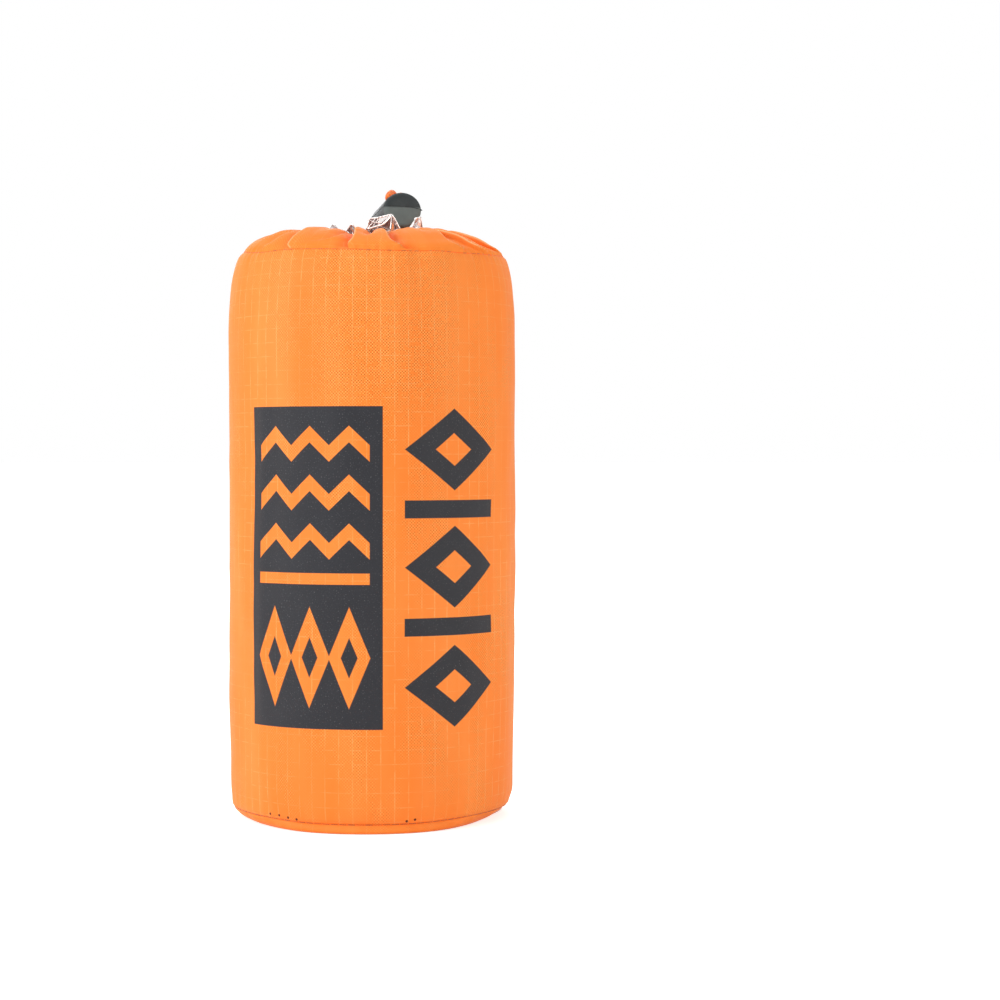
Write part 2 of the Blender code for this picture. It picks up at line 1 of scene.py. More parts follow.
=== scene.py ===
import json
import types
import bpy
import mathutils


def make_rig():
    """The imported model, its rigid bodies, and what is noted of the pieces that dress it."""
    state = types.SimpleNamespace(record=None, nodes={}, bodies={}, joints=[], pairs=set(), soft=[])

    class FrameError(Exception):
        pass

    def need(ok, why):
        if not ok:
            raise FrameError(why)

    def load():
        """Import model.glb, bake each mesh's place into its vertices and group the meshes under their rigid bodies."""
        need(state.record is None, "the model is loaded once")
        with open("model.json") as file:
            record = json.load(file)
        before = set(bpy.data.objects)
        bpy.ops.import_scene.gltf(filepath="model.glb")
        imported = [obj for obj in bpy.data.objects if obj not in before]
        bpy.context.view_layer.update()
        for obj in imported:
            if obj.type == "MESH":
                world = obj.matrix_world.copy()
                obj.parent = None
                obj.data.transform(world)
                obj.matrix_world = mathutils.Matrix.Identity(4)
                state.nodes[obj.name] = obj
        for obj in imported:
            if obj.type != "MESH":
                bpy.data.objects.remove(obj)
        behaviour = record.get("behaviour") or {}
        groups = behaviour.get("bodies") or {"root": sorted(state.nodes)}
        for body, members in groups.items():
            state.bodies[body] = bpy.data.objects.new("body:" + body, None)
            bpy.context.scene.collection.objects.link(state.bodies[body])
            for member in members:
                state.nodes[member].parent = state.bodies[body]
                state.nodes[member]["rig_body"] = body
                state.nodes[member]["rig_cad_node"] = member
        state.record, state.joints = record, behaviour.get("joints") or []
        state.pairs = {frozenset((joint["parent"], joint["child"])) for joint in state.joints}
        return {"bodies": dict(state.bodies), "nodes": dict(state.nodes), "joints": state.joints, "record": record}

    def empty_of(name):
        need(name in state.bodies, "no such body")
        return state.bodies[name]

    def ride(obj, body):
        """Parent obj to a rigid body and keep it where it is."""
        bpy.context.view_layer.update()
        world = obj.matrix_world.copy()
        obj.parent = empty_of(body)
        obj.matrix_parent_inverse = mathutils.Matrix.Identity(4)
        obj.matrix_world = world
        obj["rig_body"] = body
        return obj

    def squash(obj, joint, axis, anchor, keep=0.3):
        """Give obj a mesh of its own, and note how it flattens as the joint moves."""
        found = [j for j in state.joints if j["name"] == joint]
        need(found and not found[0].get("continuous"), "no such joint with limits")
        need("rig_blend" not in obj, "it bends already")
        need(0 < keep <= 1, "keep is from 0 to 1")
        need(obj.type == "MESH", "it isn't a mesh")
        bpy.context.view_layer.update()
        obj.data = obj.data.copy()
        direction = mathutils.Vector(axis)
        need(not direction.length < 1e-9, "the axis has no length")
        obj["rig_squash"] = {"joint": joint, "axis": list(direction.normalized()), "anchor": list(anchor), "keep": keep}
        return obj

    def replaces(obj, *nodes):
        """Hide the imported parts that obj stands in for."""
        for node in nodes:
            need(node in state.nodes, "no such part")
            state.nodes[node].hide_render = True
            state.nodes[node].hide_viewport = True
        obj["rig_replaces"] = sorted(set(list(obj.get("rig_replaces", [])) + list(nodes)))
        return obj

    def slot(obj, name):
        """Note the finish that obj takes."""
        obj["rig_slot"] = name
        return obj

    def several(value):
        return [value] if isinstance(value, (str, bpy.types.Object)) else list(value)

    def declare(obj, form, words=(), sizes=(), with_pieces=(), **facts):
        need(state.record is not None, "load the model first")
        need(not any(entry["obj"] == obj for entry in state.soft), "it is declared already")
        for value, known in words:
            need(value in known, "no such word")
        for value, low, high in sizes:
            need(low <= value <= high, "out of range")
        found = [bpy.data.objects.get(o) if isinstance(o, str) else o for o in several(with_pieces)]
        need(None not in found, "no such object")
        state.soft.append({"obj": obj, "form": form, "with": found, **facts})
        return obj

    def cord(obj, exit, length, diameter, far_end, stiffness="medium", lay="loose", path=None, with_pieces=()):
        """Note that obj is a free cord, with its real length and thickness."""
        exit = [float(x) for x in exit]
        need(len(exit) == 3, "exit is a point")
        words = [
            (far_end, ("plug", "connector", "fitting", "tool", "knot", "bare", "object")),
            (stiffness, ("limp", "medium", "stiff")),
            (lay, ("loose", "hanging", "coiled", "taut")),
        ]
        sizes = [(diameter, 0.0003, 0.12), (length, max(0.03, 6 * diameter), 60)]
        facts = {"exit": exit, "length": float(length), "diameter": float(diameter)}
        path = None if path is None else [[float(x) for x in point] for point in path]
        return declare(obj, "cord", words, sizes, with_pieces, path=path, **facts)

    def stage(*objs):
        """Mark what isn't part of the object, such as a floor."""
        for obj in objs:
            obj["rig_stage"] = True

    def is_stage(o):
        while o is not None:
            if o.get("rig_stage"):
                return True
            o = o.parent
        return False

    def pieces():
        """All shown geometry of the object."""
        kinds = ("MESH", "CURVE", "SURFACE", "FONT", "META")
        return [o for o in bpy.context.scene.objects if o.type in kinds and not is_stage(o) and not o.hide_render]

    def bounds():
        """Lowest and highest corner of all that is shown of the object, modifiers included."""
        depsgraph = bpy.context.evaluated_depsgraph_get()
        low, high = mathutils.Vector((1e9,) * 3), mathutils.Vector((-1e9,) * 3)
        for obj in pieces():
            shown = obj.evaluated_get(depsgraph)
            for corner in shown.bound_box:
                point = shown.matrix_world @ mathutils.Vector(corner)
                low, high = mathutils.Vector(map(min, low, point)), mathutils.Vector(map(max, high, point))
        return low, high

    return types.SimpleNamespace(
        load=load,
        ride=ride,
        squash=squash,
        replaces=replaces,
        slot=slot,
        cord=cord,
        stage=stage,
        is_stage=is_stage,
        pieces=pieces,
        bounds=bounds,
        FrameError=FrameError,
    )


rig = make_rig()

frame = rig.load()

# %% [markdown]
# # A packed emergency tent, made as a lesson
# A rolled tent of thin film lies in a drawstring sack of orange ripstop cloth. A cord draws the sack's mouth in, and a
# small black cord lock holds it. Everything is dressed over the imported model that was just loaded: its bodies move as
# the real pieces do, so each new piece only has to ride on the right one. Lengths are in millimetres and turned into
# metres when a mesh is made. Z is the sack's axis, the front looks towards -Y, and angles round the sack start at +X.

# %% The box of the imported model, kept for the end
import json
import math

import bmesh
import bpy
import numpy as np
from mathutils import Matrix, Vector, noise

MM = 0.001
packed_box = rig.bounds()
print("packed model, mm:", [[round(x / MM, 1) for x in corner] for corner in packed_box])

# %% [markdown]
# ## The camera
# A small product is photographed from far away with a long lens, so that its sides stay upright. The lens is 84.6 mm on
# a 36 mm sensor, level, at two thirds of the sack's height, and a small shift moves the sack down in the frame without
# tilting the camera.


# %% Camera
def in_scene(name, data, finish=None):
    """A new object of the scene, from a mesh, a lamp or a camera."""
    made = bpy.data.objects.new(name, data)
    if finish:
        data.materials.append(finish.material)
    bpy.context.scene.collection.objects.link(made)
    return made


eye = in_scene("camera", bpy.data.cameras.new("camera"))
eye.location = Vector((36, -664, 101)) * MM
eye.rotation_euler = (math.pi / 2, 0, 0)
eye.data.lens, eye.data.sensor_width, eye.data.shift_y, eye.data.clip_start = 84.6, 36, -0.045, 0.01
bpy.context.scene.camera = eye
print("camera at", tuple(round(x, 3) for x in eye.location))

# %% [markdown]
# ## Light and ground
# The sack stands on a white table in soft light. One big lamp at the left front makes its pale side, a weaker, warmer
# one at the right keeps the other side open, one above lights the gathered mouth and one behind the edges. Ground and
# world show plain white to the camera only, through Light Path, so the white comes from their own colour and never from
# stronger lamps. For every other ray the ground is an ordinary matt surface, so it keeps the shadow.


# %% Shader maths as Python
class Value:
    """A socket of a shader node, used as a number in expressions. Each operation adds a Math node."""

    def __init__(self, nodes, socket):
        self.nodes, self.socket = nodes, socket

    def math(self, operation, *others):
        return self.nodes.node("Math", {"operation": operation}, [self, *others])

    __add__ = __radd__ = lambda self, other: self.math("ADD", other)
    __mul__ = __rmul__ = lambda self, other: self.math("MULTIPLY", other)
    __sub__ = lambda self, other: self.math("SUBTRACT", other)
    __rsub__ = lambda self, other: self.nodes.node("Math", {"operation": "SUBTRACT"}, [other, self])
    __truediv__ = lambda self, other: self.math("DIVIDE", other)

    def step(self, low, high):
        """0 below low and 1 above high, with a smooth rise between them. It falls where low is above high."""
        ends = [low, high, 0.0, 1.0] if low < high else [high, low, 1.0, 0.0]
        return self.nodes.node("MapRange", {"interpolation_type": "SMOOTHSTEP", "clamp": True}, [self, *ends])


def colour(red, green, blue):
    """A colour of the screen, 0 to 255, as the shader's own linear one."""
    linear = [((c / 255 + 0.055) / 1.055) ** 2.4 if c > 10 else c / 3294 for c in (red, green, blue)]
    return (*linear, 1.0)


class Nodes:
    """The nodes of a material or of the world."""

    def __init__(self, tree):
        self.tree = tree

    def connect(self, socket, value):
        if isinstance(value, Value):
            self.tree.links.new(value.socket, socket)
        else:
            socket.default_value = value

    def node(self, kind, settings=None, sockets=(), output=0):
        """A node of any kind: its settings are set first, then the values or links of its sockets."""
        made = self.tree.nodes.new("ShaderNode" + kind)
        for key, value in (settings or {}).items():
            setattr(made, key, value)
        for key, value in sockets.items() if isinstance(sockets, dict) else enumerate(sockets):
            self.connect(made.inputs[key], value)
        return Value(self, made.outputs[output])


class Finish(Nodes):
    """A material that is written as expressions. Its keywords are sockets that are the same all over the surface."""

    def __init__(self, name, **same_all_over):
        self.material = bpy.data.materials.new(name)
        self.material.use_nodes = True
        super().__init__(self.material.node_tree)
        self.shader = self.tree.nodes["Principled BSDF"]
        self.wear(**same_all_over)

    def wear(self, **sockets):
        for socket, value in sockets.items():
            self.connect(self.shader.inputs[socket.replace("_", " ")], value)
        return self

    def mix(self, share, first, second):
        """The first colour, turning into the second where share is 1."""
        return self.node("Mix", {"data_type": "RGBA"}, {0: share, 6: first, 7: second}, output=2)

    def vector(self, operation, first, second, output=0):
        return self.node("VectorMath", {"operation": operation}, [first, second], output)

    def split(self, vector):
        """The three parts of a vector, as values."""
        return [Value(self, socket) for socket in self.node("SeparateXYZ", None, [vector]).socket.node.outputs]

    def cloth(self):
        """The cloth map, in mm along and across the weave."""
        return self.node("UVMap", {"uv_map": "cloth"})

    def place(self):
        """The place in the model, in metres."""
        return self.node("TexCoord", output=3)

    def noise(self, vector, scale, detail=2.0, roughness=0.5):
        """Soft random spots from 0 to 1, scale of them to one unit of the vector."""
        sockets = {"Vector": vector, "Scale": scale, "Detail": detail, "Roughness": roughness}
        return self.node("TexNoise", {"noise_dimensions": "3D"}, sockets)

    def bump(self, height, depth):
        """A surface normal from a height of 0 to 1, whose 1 stands depth metres high."""
        return self.node("Bump", None, {"Strength": 1.0, "Distance": depth, "Height": height})


# %% Ground, world and lamps
def white_for_camera(nodes, shader, white, output):
    """Shows the white to camera, glossy and transmitted rays, and the shader to all others."""
    path = nodes.node("LightPath").socket.node.outputs
    seen = Value(nodes, path["Is Camera Ray"])
    for also in ("Is Glossy Ray", "Is Transmission Ray"):
        seen = seen.math("MAXIMUM", Value(nodes, path[also]))
    nodes.connect(nodes.tree.nodes[output].inputs["Surface"], nodes.node("MixShader", None, [seen, shader, white]))


def from_shape(name, shape, finish=None):
    """A new object from a bmesh, which ends here."""
    mesh = bpy.data.meshes.new(name)
    shape.to_mesh(mesh)
    shape.free()
    return in_scene(name, mesh, finish)


ground_finish = Finish("ground", Roughness=0.9, Specular_IOR_Level=0.1, Base_Color=(0.93, 0.93, 0.93, 1.0))
matt = Value(ground_finish, ground_finish.shader.outputs[0])
glow = ground_finish.node("Emission", None, {"Color": (0.66, 0.66, 0.66, 1.0), "Strength": 1.0})
white_for_camera(ground_finish, matt, ground_finish.node("AddShader", None, [matt, glow]), "Material Output")
shape = bmesh.new()
bmesh.ops.create_grid(shape, x_segments=1, y_segments=1, size=30.0)
ground = from_shape("ground", shape, ground_finish)
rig.stage(ground)

world = bpy.data.worlds.new("studio")
bpy.context.scene.world = world
world.use_nodes = True
sky = Nodes(world.node_tree)
soft_light = sky.tree.nodes["Background"]
for socket, value in (("Color", (1.0, 0.99, 0.98, 1.0)), ("Strength", 0.4)):
    sky.connect(soft_light.inputs[socket], value)
plain_white = sky.node("Background", None, {"Color": (1.0, 1.0, 1.0, 1.0), "Strength": 1.0})
white_for_camera(sky, Value(sky, soft_light.outputs[0]), plain_white, "World Output")


def lamp(name, place, size, watts, shade=(1.0, 1.0, 1.0)):
    """A square lamp, at a place in metres, that looks at the middle of the sack."""
    light = bpy.data.lights.new(name, "AREA")
    light.shape, light.size, light.energy, light.color = "SQUARE", size, watts, shade
    item = in_scene(name, light)
    item.location = place
    item.rotation_euler = (Vector((0, 0, 0.09)) - Vector(place)).to_track_quat("-Z", "Y").to_euler()


lamp("left_front", (-1.0, -0.55, 0.5), 0.6, 9.4)
lamp("right_front", (0.95, -0.7, 0.35), 0.6, 5.2, (1.0, 0.95, 0.86))
lamp("above", (-0.1, 0.1, 1.2), 0.6, 3.6)
lamp("behind", (-0.2, 1.2, 0.6), 0.8, 4.5)
bpy.context.scene.view_settings.view_transform = "Standard"
print("one ground, one world and four soft lamps")

# %% [markdown]
# ## Meshes from rows of points
# Cloth that has been turned, gathered or wrapped is easiest to describe as a net: rows of points, each once round the
# piece. Blender's own primitives can't carry cloth coordinates that stay true through folds, so a net also gets a map
# named cloth. The weave of every material is drawn in that map, so it bends and bunches with the cloth, as threads do.


# %% Lines and nets
def length_along(points):
    """The length along a line of points, at each of them."""
    return np.r_[0, np.cumsum(np.linalg.norm(np.diff(points, axis=0), axis=1))]


def smooth_line(points, count):
    """count places, evenly spaced, on a smooth line through the points."""
    p = np.asarray(points, float)
    ends = np.vstack([2 * p[0] - p[1], p, 2 * p[-1] - p[-2]])
    t = np.linspace(0, 1, 25)[:-1, None]
    dense = []
    for a, b, c, d in zip(ends, ends[1:], ends[2:], ends[3:]):
        curve = 2 * b + (c - a) * t + (2 * a - 5 * b + 4 * c - d) * t**2 + (3 * b - a - 3 * c + d) * t**3
        dense.append(curve / 2)
    dense = np.vstack(dense + [p[-1:]])
    along = length_along(dense)
    wanted = np.linspace(0, along[-1], count)
    return np.stack([np.interp(wanted, along, column) for column in dense.T], 1)


def four_corners(grid):
    """The values at the four corners of every face of a net."""
    return np.stack([grid[:-1, :-1], grid[:-1, 1:], grid[1:, 1:], grid[1:, :-1]], 2)


class Net:
    """The points, faces and cloth coordinates of one piece, which may be made of many small nets."""

    def __init__(self):
        self.points, self.faces, self.places, self.count = [], [], [], 0

    def add(self, points, places, round_too=True, caps=False):
        """Adds rows x columns points in mm. places has one more column where the net closes on itself."""
        number = self.count + np.arange(points[..., 0].size).reshape(points.shape[:2])
        self.count += number.size
        self.points.append(points.reshape(-1, 3))
        ends = [number[0, ::-1], number[-1]] if caps else []
        if round_too:
            number = np.hstack([number, number[:, :1]])
        self.faces += four_corners(number).reshape(-1, 4).tolist()
        self.places += four_corners(places).reshape(-1, 2).tolist()
        for ring in ends:
            self.faces.append(ring.tolist())
            self.places += [places[0, 0].tolist()] * len(ring)
        return self

    def tube(self, path, radius, sides=14, caps=True):
        """Adds a round tube. Its map holds the length along it and the share of a turn."""
        path = np.asarray(path, float)
        ahead = np.gradient(path, axis=0)
        ahead /= np.linalg.norm(ahead, axis=1)[:, None]
        side = np.cross(ahead[0], (0.3, 0.2, 1.0) if abs(ahead[0][2]) < 0.9 else (1.0, 0.2, 0.0))
        rings, turn = [], np.linspace(0, math.tau, sides, endpoint=False)
        for place, way, size in zip(path, ahead, np.broadcast_to(radius, len(path))):
            side = side - way * side.dot(way)
            side /= np.linalg.norm(side)
            up = np.cross(way, side)
            rings.append(place + size * (np.outer(np.cos(turn), side) + np.outer(np.sin(turn), up)))
        share = np.linspace(0, 1, sides + 1)
        places = np.stack(np.broadcast_arrays(length_along(path)[:, None], share[None, :]), 2)
        return self.add(np.array(rings), places, caps=caps)

    def piece(self, name, finish):
        mesh = bpy.data.meshes.new(name)
        mesh.from_pydata((np.vstack(self.points) * MM).tolist(), [], self.faces)
        layer = mesh.uv_layers.new(name="cloth")
        layer.uv.foreach_set("vector", np.asarray(self.places, np.float32).ravel())
        mesh.shade_smooth()
        mesh.validate()
        return in_scene(name, mesh, finish)


def dress(piece, body, slot, stands_for=None):
    """Says which body a piece rides on, what its material is and which solid it stands for."""
    if stands_for:
        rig.replaces(piece, stands_for)
    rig.ride(piece, body)
    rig.slot(piece, slot)
    return piece


def tell(piece, name, values):
    """Gives each point of a piece a value that its material can read."""
    layer = piece.data.attributes.new(name, "FLOAT", "POINT")
    layer.data.foreach_set("value", np.asarray(values, np.float32).ravel())


# %% Places round the sack
def ring_angles(columns):
    """The angles of a net's columns, in degrees and in radians."""
    angle = np.linspace(-180, 180, columns, endpoint=False)[None, :]
    return angle, np.radians(angle)


def round_points(radius, turn, height):
    return np.stack(np.broadcast_arrays(radius * np.cos(turn), radius * np.sin(turn), height), -1)


def turned_away(angle, middle):
    """How many degrees an angle lies from a middle one, from -180 to 180."""
    return (angle - middle + 180) % 360 - 180


def from_table(table, angle, smear):
    """The columns of a table, whose first one is angles, at an angle. Its corners are rounded by smear degrees."""
    known, *columns = np.array(table).T
    shifts = (-smear, 0, smear) if smear else (0,)
    return [sum(np.interp(angle + s, known, column, period=360) for s in shifts) / len(shifts) for column in columns]


def blend_in(value, start, full):
    """A smooth step from 0 at start to 1 at full."""
    share = np.clip((value - start) / (full - start), 0, 1)
    return share * share * (3 - 2 * share)


def bell(value, width):
    return np.exp(-0.5 * (value / width) ** 2)


def soft_noise(angle, height, size, seed):
    """Slow random waves round and up the sack, between about -1 and 1."""
    where = round_points(40.0, np.radians(angle), height * 0.6) / size
    flat = where.reshape(-1, 3) + seed * 17.3
    return np.array([noise.noise(Vector(p)) for p in flat]).reshape(where.shape[:-1]) * 2


print("nets, tubes and smooth lines are ready")

# %% [markdown]
# ## The braided cord
# The drawcord is a 2.2 mm braid: two sets of yarns run round it in opposite screws and pass over and under each other.
# It could be modelled yarn by yarn, but at this size a bump does it: two slanting saw waves, of which the higher one
# shows. A grey yarn comes to the surface every six or seven millimetres, so a few flecks are grey.


# %% Braid
def braid(name):
    f = Finish(name, Sheen_Weight=0.25, Sheen_Roughness=0.5, Specular_IOR_Level=0.35)
    along, around, _ = f.split(f.cloth())
    left, right = [(along * 0.62 + around * way).math("FRACT").math("PINGPONG", 0.5) * 2.0 for way in (4.0, -4.0)]
    over, across = left.math("MAXIMUM", right), left.math("MINIMUM", right)
    grain = f.noise(f.cloth(), 6.0, 3.0)
    fleck = (along / 6.5).math("FRACT").step(0.84, 0.9) * (around - 0.25).math("ABSOLUTE").step(0.13, 0.08)
    # Painted shade: the braid is darker where its yarns lie low, in the grooves.
    body = f.mix(over.step(0.3, 0.9), colour(226, 92, 14), colour(250, 126, 34))
    # Painted highlight: paler yellow-orange on the tops of the crossings.
    body = f.mix(across.step(0.5, 1.0) * grain.step(0.35, 0.7) * 0.7, body, colour(255, 172, 72))
    body = f.mix(fleck * grain.step(0.3, 0.5), body, colour(150, 150, 146))
    return f.wear(Base_Color=body, Roughness=0.55 + 0.2 * grain, Normal=f.bump(over * 0.8 + grain * 0.2, 0.00016))


cord_finish = braid("braided cord")
print("the cord's finish has", len(cord_finish.tree.nodes), "nodes")

# %% [markdown]
# ## The two free ends of the cord
# Each end comes up out of the cord lock, stands a little because the braid is springy, bends over behind the mouth and
# hangs down the back of the sack to a common knot. A curve object could carry them, but a tube of mesh takes the
# braid's coordinates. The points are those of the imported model, so the cord lies where its solid does.

# %% The cord lock's own frame
LOCK_PLACE = Vector((8.0, 14.0, 171.9))
turn, rise = math.radians(75), math.radians(7)
lock_looks = Vector((math.cos(rise) * math.cos(turn), -math.cos(rise) * math.sin(turn), math.sin(rise)))
lock_up = (Vector((0, 0, 1)) - lock_looks.z * lock_looks).normalized()
lock_across = lock_looks.cross(lock_up)
lock_frame = Matrix((lock_across, lock_up, -lock_looks)).transposed().to_4x4()
lock_frame.translation = LOCK_PLACE
# The middle of the cord hole along the lock, and how far a strand lies beside it
HOLE_PLACE, STRAND_OFFSET = 11.7, 1.27


def in_lock(x, y, z):
    """A place given in the cord lock's frame: across it, along the cord, and along the lock from its closed end."""
    return lock_frame @ Vector((x, y, z))


print("the cord lock looks towards", [round(c, 2) for c in lock_looks])

# %% Free ends
# Side of the lock, first two points (along the cord, along the lock), and the rest of the way to the knot
TAILS = {
    "left": (1, [(5.45, 12.05), (6.6, 12.55)], [
        (3.9, 28.4, 177.95), (4.2, 30.3, 178.2), (4.5, 33.6, 177.8), (4.6, 37.8, 176.6), (4.5, 41.2, 174.0),
        (3.9, 43.6, 169.6), (3.1, 44.6, 163.0), (2.2, 44.3, 154.5), (1.0, 43.4, 145.0), (0.1, 42.7, 135.5),
        (0.2, 42.6, 126.5), (1.3, 43.3, 119.2), (1.6, 44.0, 114.9),
    ]),
    "right": (-1, [(5.45, 12.05), (6.3, 12.65)], [
        (6.6, 28.9, 177.25), (6.8, 30.6, 177.4), (7.0, 34.0, 176.9), (7.1, 38.0, 175.2), (7.2, 41.5, 171.8),
        (7.2, 43.5, 167.1), (7.1, 44.3, 160.5), (7.0, 44.0, 152.0), (6.7, 43.1, 142.5), (6.1, 42.5, 133.0),
        (5.4, 42.5, 124.8), (4.3, 43.4, 118.4), (4.1, 44.1, 114.9),
    ]),
}
CORD_RADIUS = 1.1
tails = {}
for side_name, (side, start, route) in TAILS.items():
    path = smooth_line([tuple(in_lock(side * STRAND_OFFSET, *place)) for place in start] + route, 97)
    piece = Net().tube(path, CORD_RADIUS, sides=16).piece("cord_end_" + side_name, cord_finish)
    tails[side_name] = (dress(piece, "lock", "braided_cord", "drawcord_tail_" + side_name), path)
    print(side_name, "end is", round(length_along(path)[-1], 1), "mm long")

# %% [markdown]
# ## The knot
# Both ends are tied together in one overhand knot, so that the lock can't slip off. The doubled cord goes round
# itself: from outside one sees three turns that lie aslant, and two cut ends below them. A real knot could be traced
# loop by loop, but its inside never shows, so one tube winds round the two cords, tilted, with its last turn tucked in.

# %% Knot
KNOT_PLACE = np.array((2.8, 44.1, 110.5))
angles = np.radians(np.arange(-60, 1110, 15.0))
share = (angles - angles[0]) / (angles[-1] - angles[0])
radius = 2.55 - 0.5 * blend_in(share, 0.9, 1.0) - 0.5 * blend_in(share, 0.1, 0.0)
height = 3.0 - 6.0 * share + 0.75 * np.sin(angles + 0.6)
wrap = np.stack([radius * np.cos(angles), radius * 0.9 * np.sin(angles), height], 1)
net = Net().tube(KNOT_PLACE + wrap, 1.05, sides=12)
core = np.array([(1.2, 0, 4), (1.15, 0.1, 1.5), (1.2, 0, -1), (1.6, 0, -3.2), (2, 0, -6), (2.75, 0.15, -12)])
for side in (-1, 1):
    flared = CORD_RADIUS + 0.12 * blend_in(np.linspace(0, 1, 22), 0.93, 1.0)
    net.tube(KNOT_PLACE + smooth_line(core * (side, side, 1), 22), flared, sides=12)
knot = dress(net.piece("cord_knot", cord_finish), "lock", "braided_cord", "tail_knot")
for side_name, (piece, path) in tails.items():
    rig.cord(
        piece,
        exit=tuple(path[0] * MM),
        length=float(length_along(path)[-1]) * MM,
        diameter=2 * CORD_RADIUS * MM,
        far_end="knot",
        stiffness="limp",
        lay="hanging",
        path=[tuple(p * MM) for p in path],
        with_pieces=[knot] if side_name == "left" else [],
    )
print("knot of", len(wrap), "rings")

# %% [markdown]
# ## Ripstop cloth
# Ripstop is a plain weave of thin yarns with a thicker yarn every few millimetres, both ways, so that a tear stops at
# the next square. Three things make it recognisable: the dotted weave, the grid of raised paler lines, and a faint
# sheen where the cloth turns away. All are formulas in the cloth map: two sine waves for the weave, two ping-pong waves
# for the grid, and noise that breaks the lines up, because the thick yarns dip in and out of sight. In the folds the
# cloth is painted a deeper orange, as painted shade, and given an orange glow, as painted light; along the edge of a
# lapping fold it is painted paler, as a painted highlight. Each net holds this in a value of its points, which also
# paints shade along the seams.

# %% Ripstop
CLOTH = colour(251, 133, 46)
CLOTH_PALE = colour(255, 190, 116)
# Distance of the thick yarns, and of every second thin one, in mm
GRID, WEAVE = 3.75, 0.84


def ripstop(name, print_mask=None, lit_weave_area=None, grid=1.0, shaded_holes=(), shine=0.25):
    """Orange ripstop. print_mask makes the mask of an ink, dotted that of the area of strongest painted weave light.

    grid is how clear the grid is, marks are needle holes given painted shade, and shine is how glossy it is."""
    f = Finish(name, Sheen_Weight=max(0.0, shine - 0.1), Sheen_Roughness=0.4, Specular_IOR_Level=shine)
    f.wear(Sheen_Tint=colour(255, 206, 170), Emission_Strength=1.0)
    cloth = f.cloth()
    u, v, _ = f.split(cloth)

    def stretched(across, upward):
        return f.vector("MULTIPLY", cloth, (across, upward, 0.0))

    weave = (u * (math.tau / WEAVE)).math("SINE") * (v * (math.tau / WEAVE)).math("SINE") * 0.5 + 0.5
    line_u = u.math("PINGPONG", GRID / 2).step(0.2, 0.07)
    line_v = v.math("PINGPONG", GRID / 2).step(0.17, 0.06)
    seen = 0.3 + 0.7 * f.noise(stretched(0.05, 0.03), 1.0, 2.0).step(0.38, 0.62)
    broken_u = f.noise(stretched(1.3, 0.35), 1.0, 3.0).step(0.32, 0.6)
    broken_v = f.noise(stretched(0.35, 1.3), 1.0, 3.0).step(0.38, 0.64)
    lines = (line_u * broken_u).math("MAXIMUM", line_v * broken_v * 0.8) * seen * (0.55 + 0.45 * weave) * grid
    patches = f.noise(stretched(0.085, 0.03), 1.0, 3.0, 0.6).step(0.44, 0.66)
    if lit_weave_area:
        patches = patches * 0.8 + lit_weave_area(u, v) * (1 - patches * 0.8)
    picked = patches * f.noise(cloth, 0.9, 2.0).step(0.36, 0.56)
    painted_shade_and_highlight = f.node("Attribute", {"attribute_name": "painted_shade_and_highlight"}, output=2)
    soft = f.noise(stretched(0.06, 0.012), 1.0, 3.0)
    plain = min(1.0, grid + 0.1)
    body = f.mix(soft.step(0.35, 0.7) * 0.5, CLOTH, colour(255, 152, 72))
    # Painted shade in the gaps of the weave and painted highlight on its crossings, in patches and at the lit front
    body = f.mix(weave.step(0.4, 0.08) * picked * (0.9 * plain), body, colour(198, 74, 10))
    body = f.mix(weave.step(0.6, 0.92) * picked * (0.75 * plain), body, colour(255, 202, 110))
    body = f.mix(lines * 0.66, body, CLOTH_PALE)
    # Painted shade: a deeper orange in the folds and along the seams.
    body = f.mix(painted_shade_and_highlight.step(0.0, 1.0) * 0.95, body, colour(255, 64, 0))
    # Painted highlight: paler along the edge of a lapping fold.
    body = f.mix(painted_shade_and_highlight.step(0.0, -0.8) * 0.7, body, colour(255, 206, 150))
    # Painted shade: a dark spot in each needle hole.
    for place in shaded_holes:
        away = f.vector("DISTANCE", cloth, (*place, 0.0), output=1)
        body = f.mix(away.step(0.42, 0.28), body, colour(92, 30, 14))
    height = weave * (0.15 + 0.3 * patches) + lines * 0.5
    if print_mask:
        ink = print_mask(u, v)
        fleck = f.noise(cloth, 2.4, 2.0, 0.6).step(0.56, 0.7) * weave.step(0.4, 0.9)
        inked = f.mix(f.noise(cloth, 0.12, 3.0) * 0.6, colour(38, 39, 44), colour(50, 51, 57))
        body = f.mix(ink, body, f.mix(fleck * 0.5, inked, colour(116, 116, 118)))
        height = height * (1 - ink * 0.45)
    # Painted light: an orange glow from the folds, which are no lamp.
    glow = f.mix(painted_shade_and_highlight.step(0.1, 1.0), (0.0, 0.0, 0.0, 1.0), (0.2, 0.012, 0.0, 1.0))
    return f.wear(Base_Color=body, Roughness=0.58 + 0.12 * weave, Normal=f.bump(height, 0.0001), Emission_Color=glow)


print("grid of", GRID, "mm")

# %% [markdown]
# ## The printed patterns
# A dark ink is printed on the front of the sack. Here it is a plain geometric pattern: a block with zigzags, a bar and
# slim lozenges left bare in it, and beside it a column of lozenges and bars. A picture texture would blur at close
# range, so the shapes are formulas in the cloth map: a rectangle is the smallest of four distances, a zigzag a
# ping-pong wave, and a lozenge the sum of two distances. Each becomes a mask with an edge a fifth of a millimetre wide.

# %% Print
# Millimetres of cloth to one degree round the sack
ROUND = math.tau * 40.2 / 360


def at_angle(degrees_from_front):
    """The place across the cloth, in mm, of an angle counted from the front of the sack."""
    return (90 + degrees_from_front) * ROUND


def inside(signed):
    """1 where a signed distance in mm is above 0."""
    return signed.step(-0.1, 0.1)


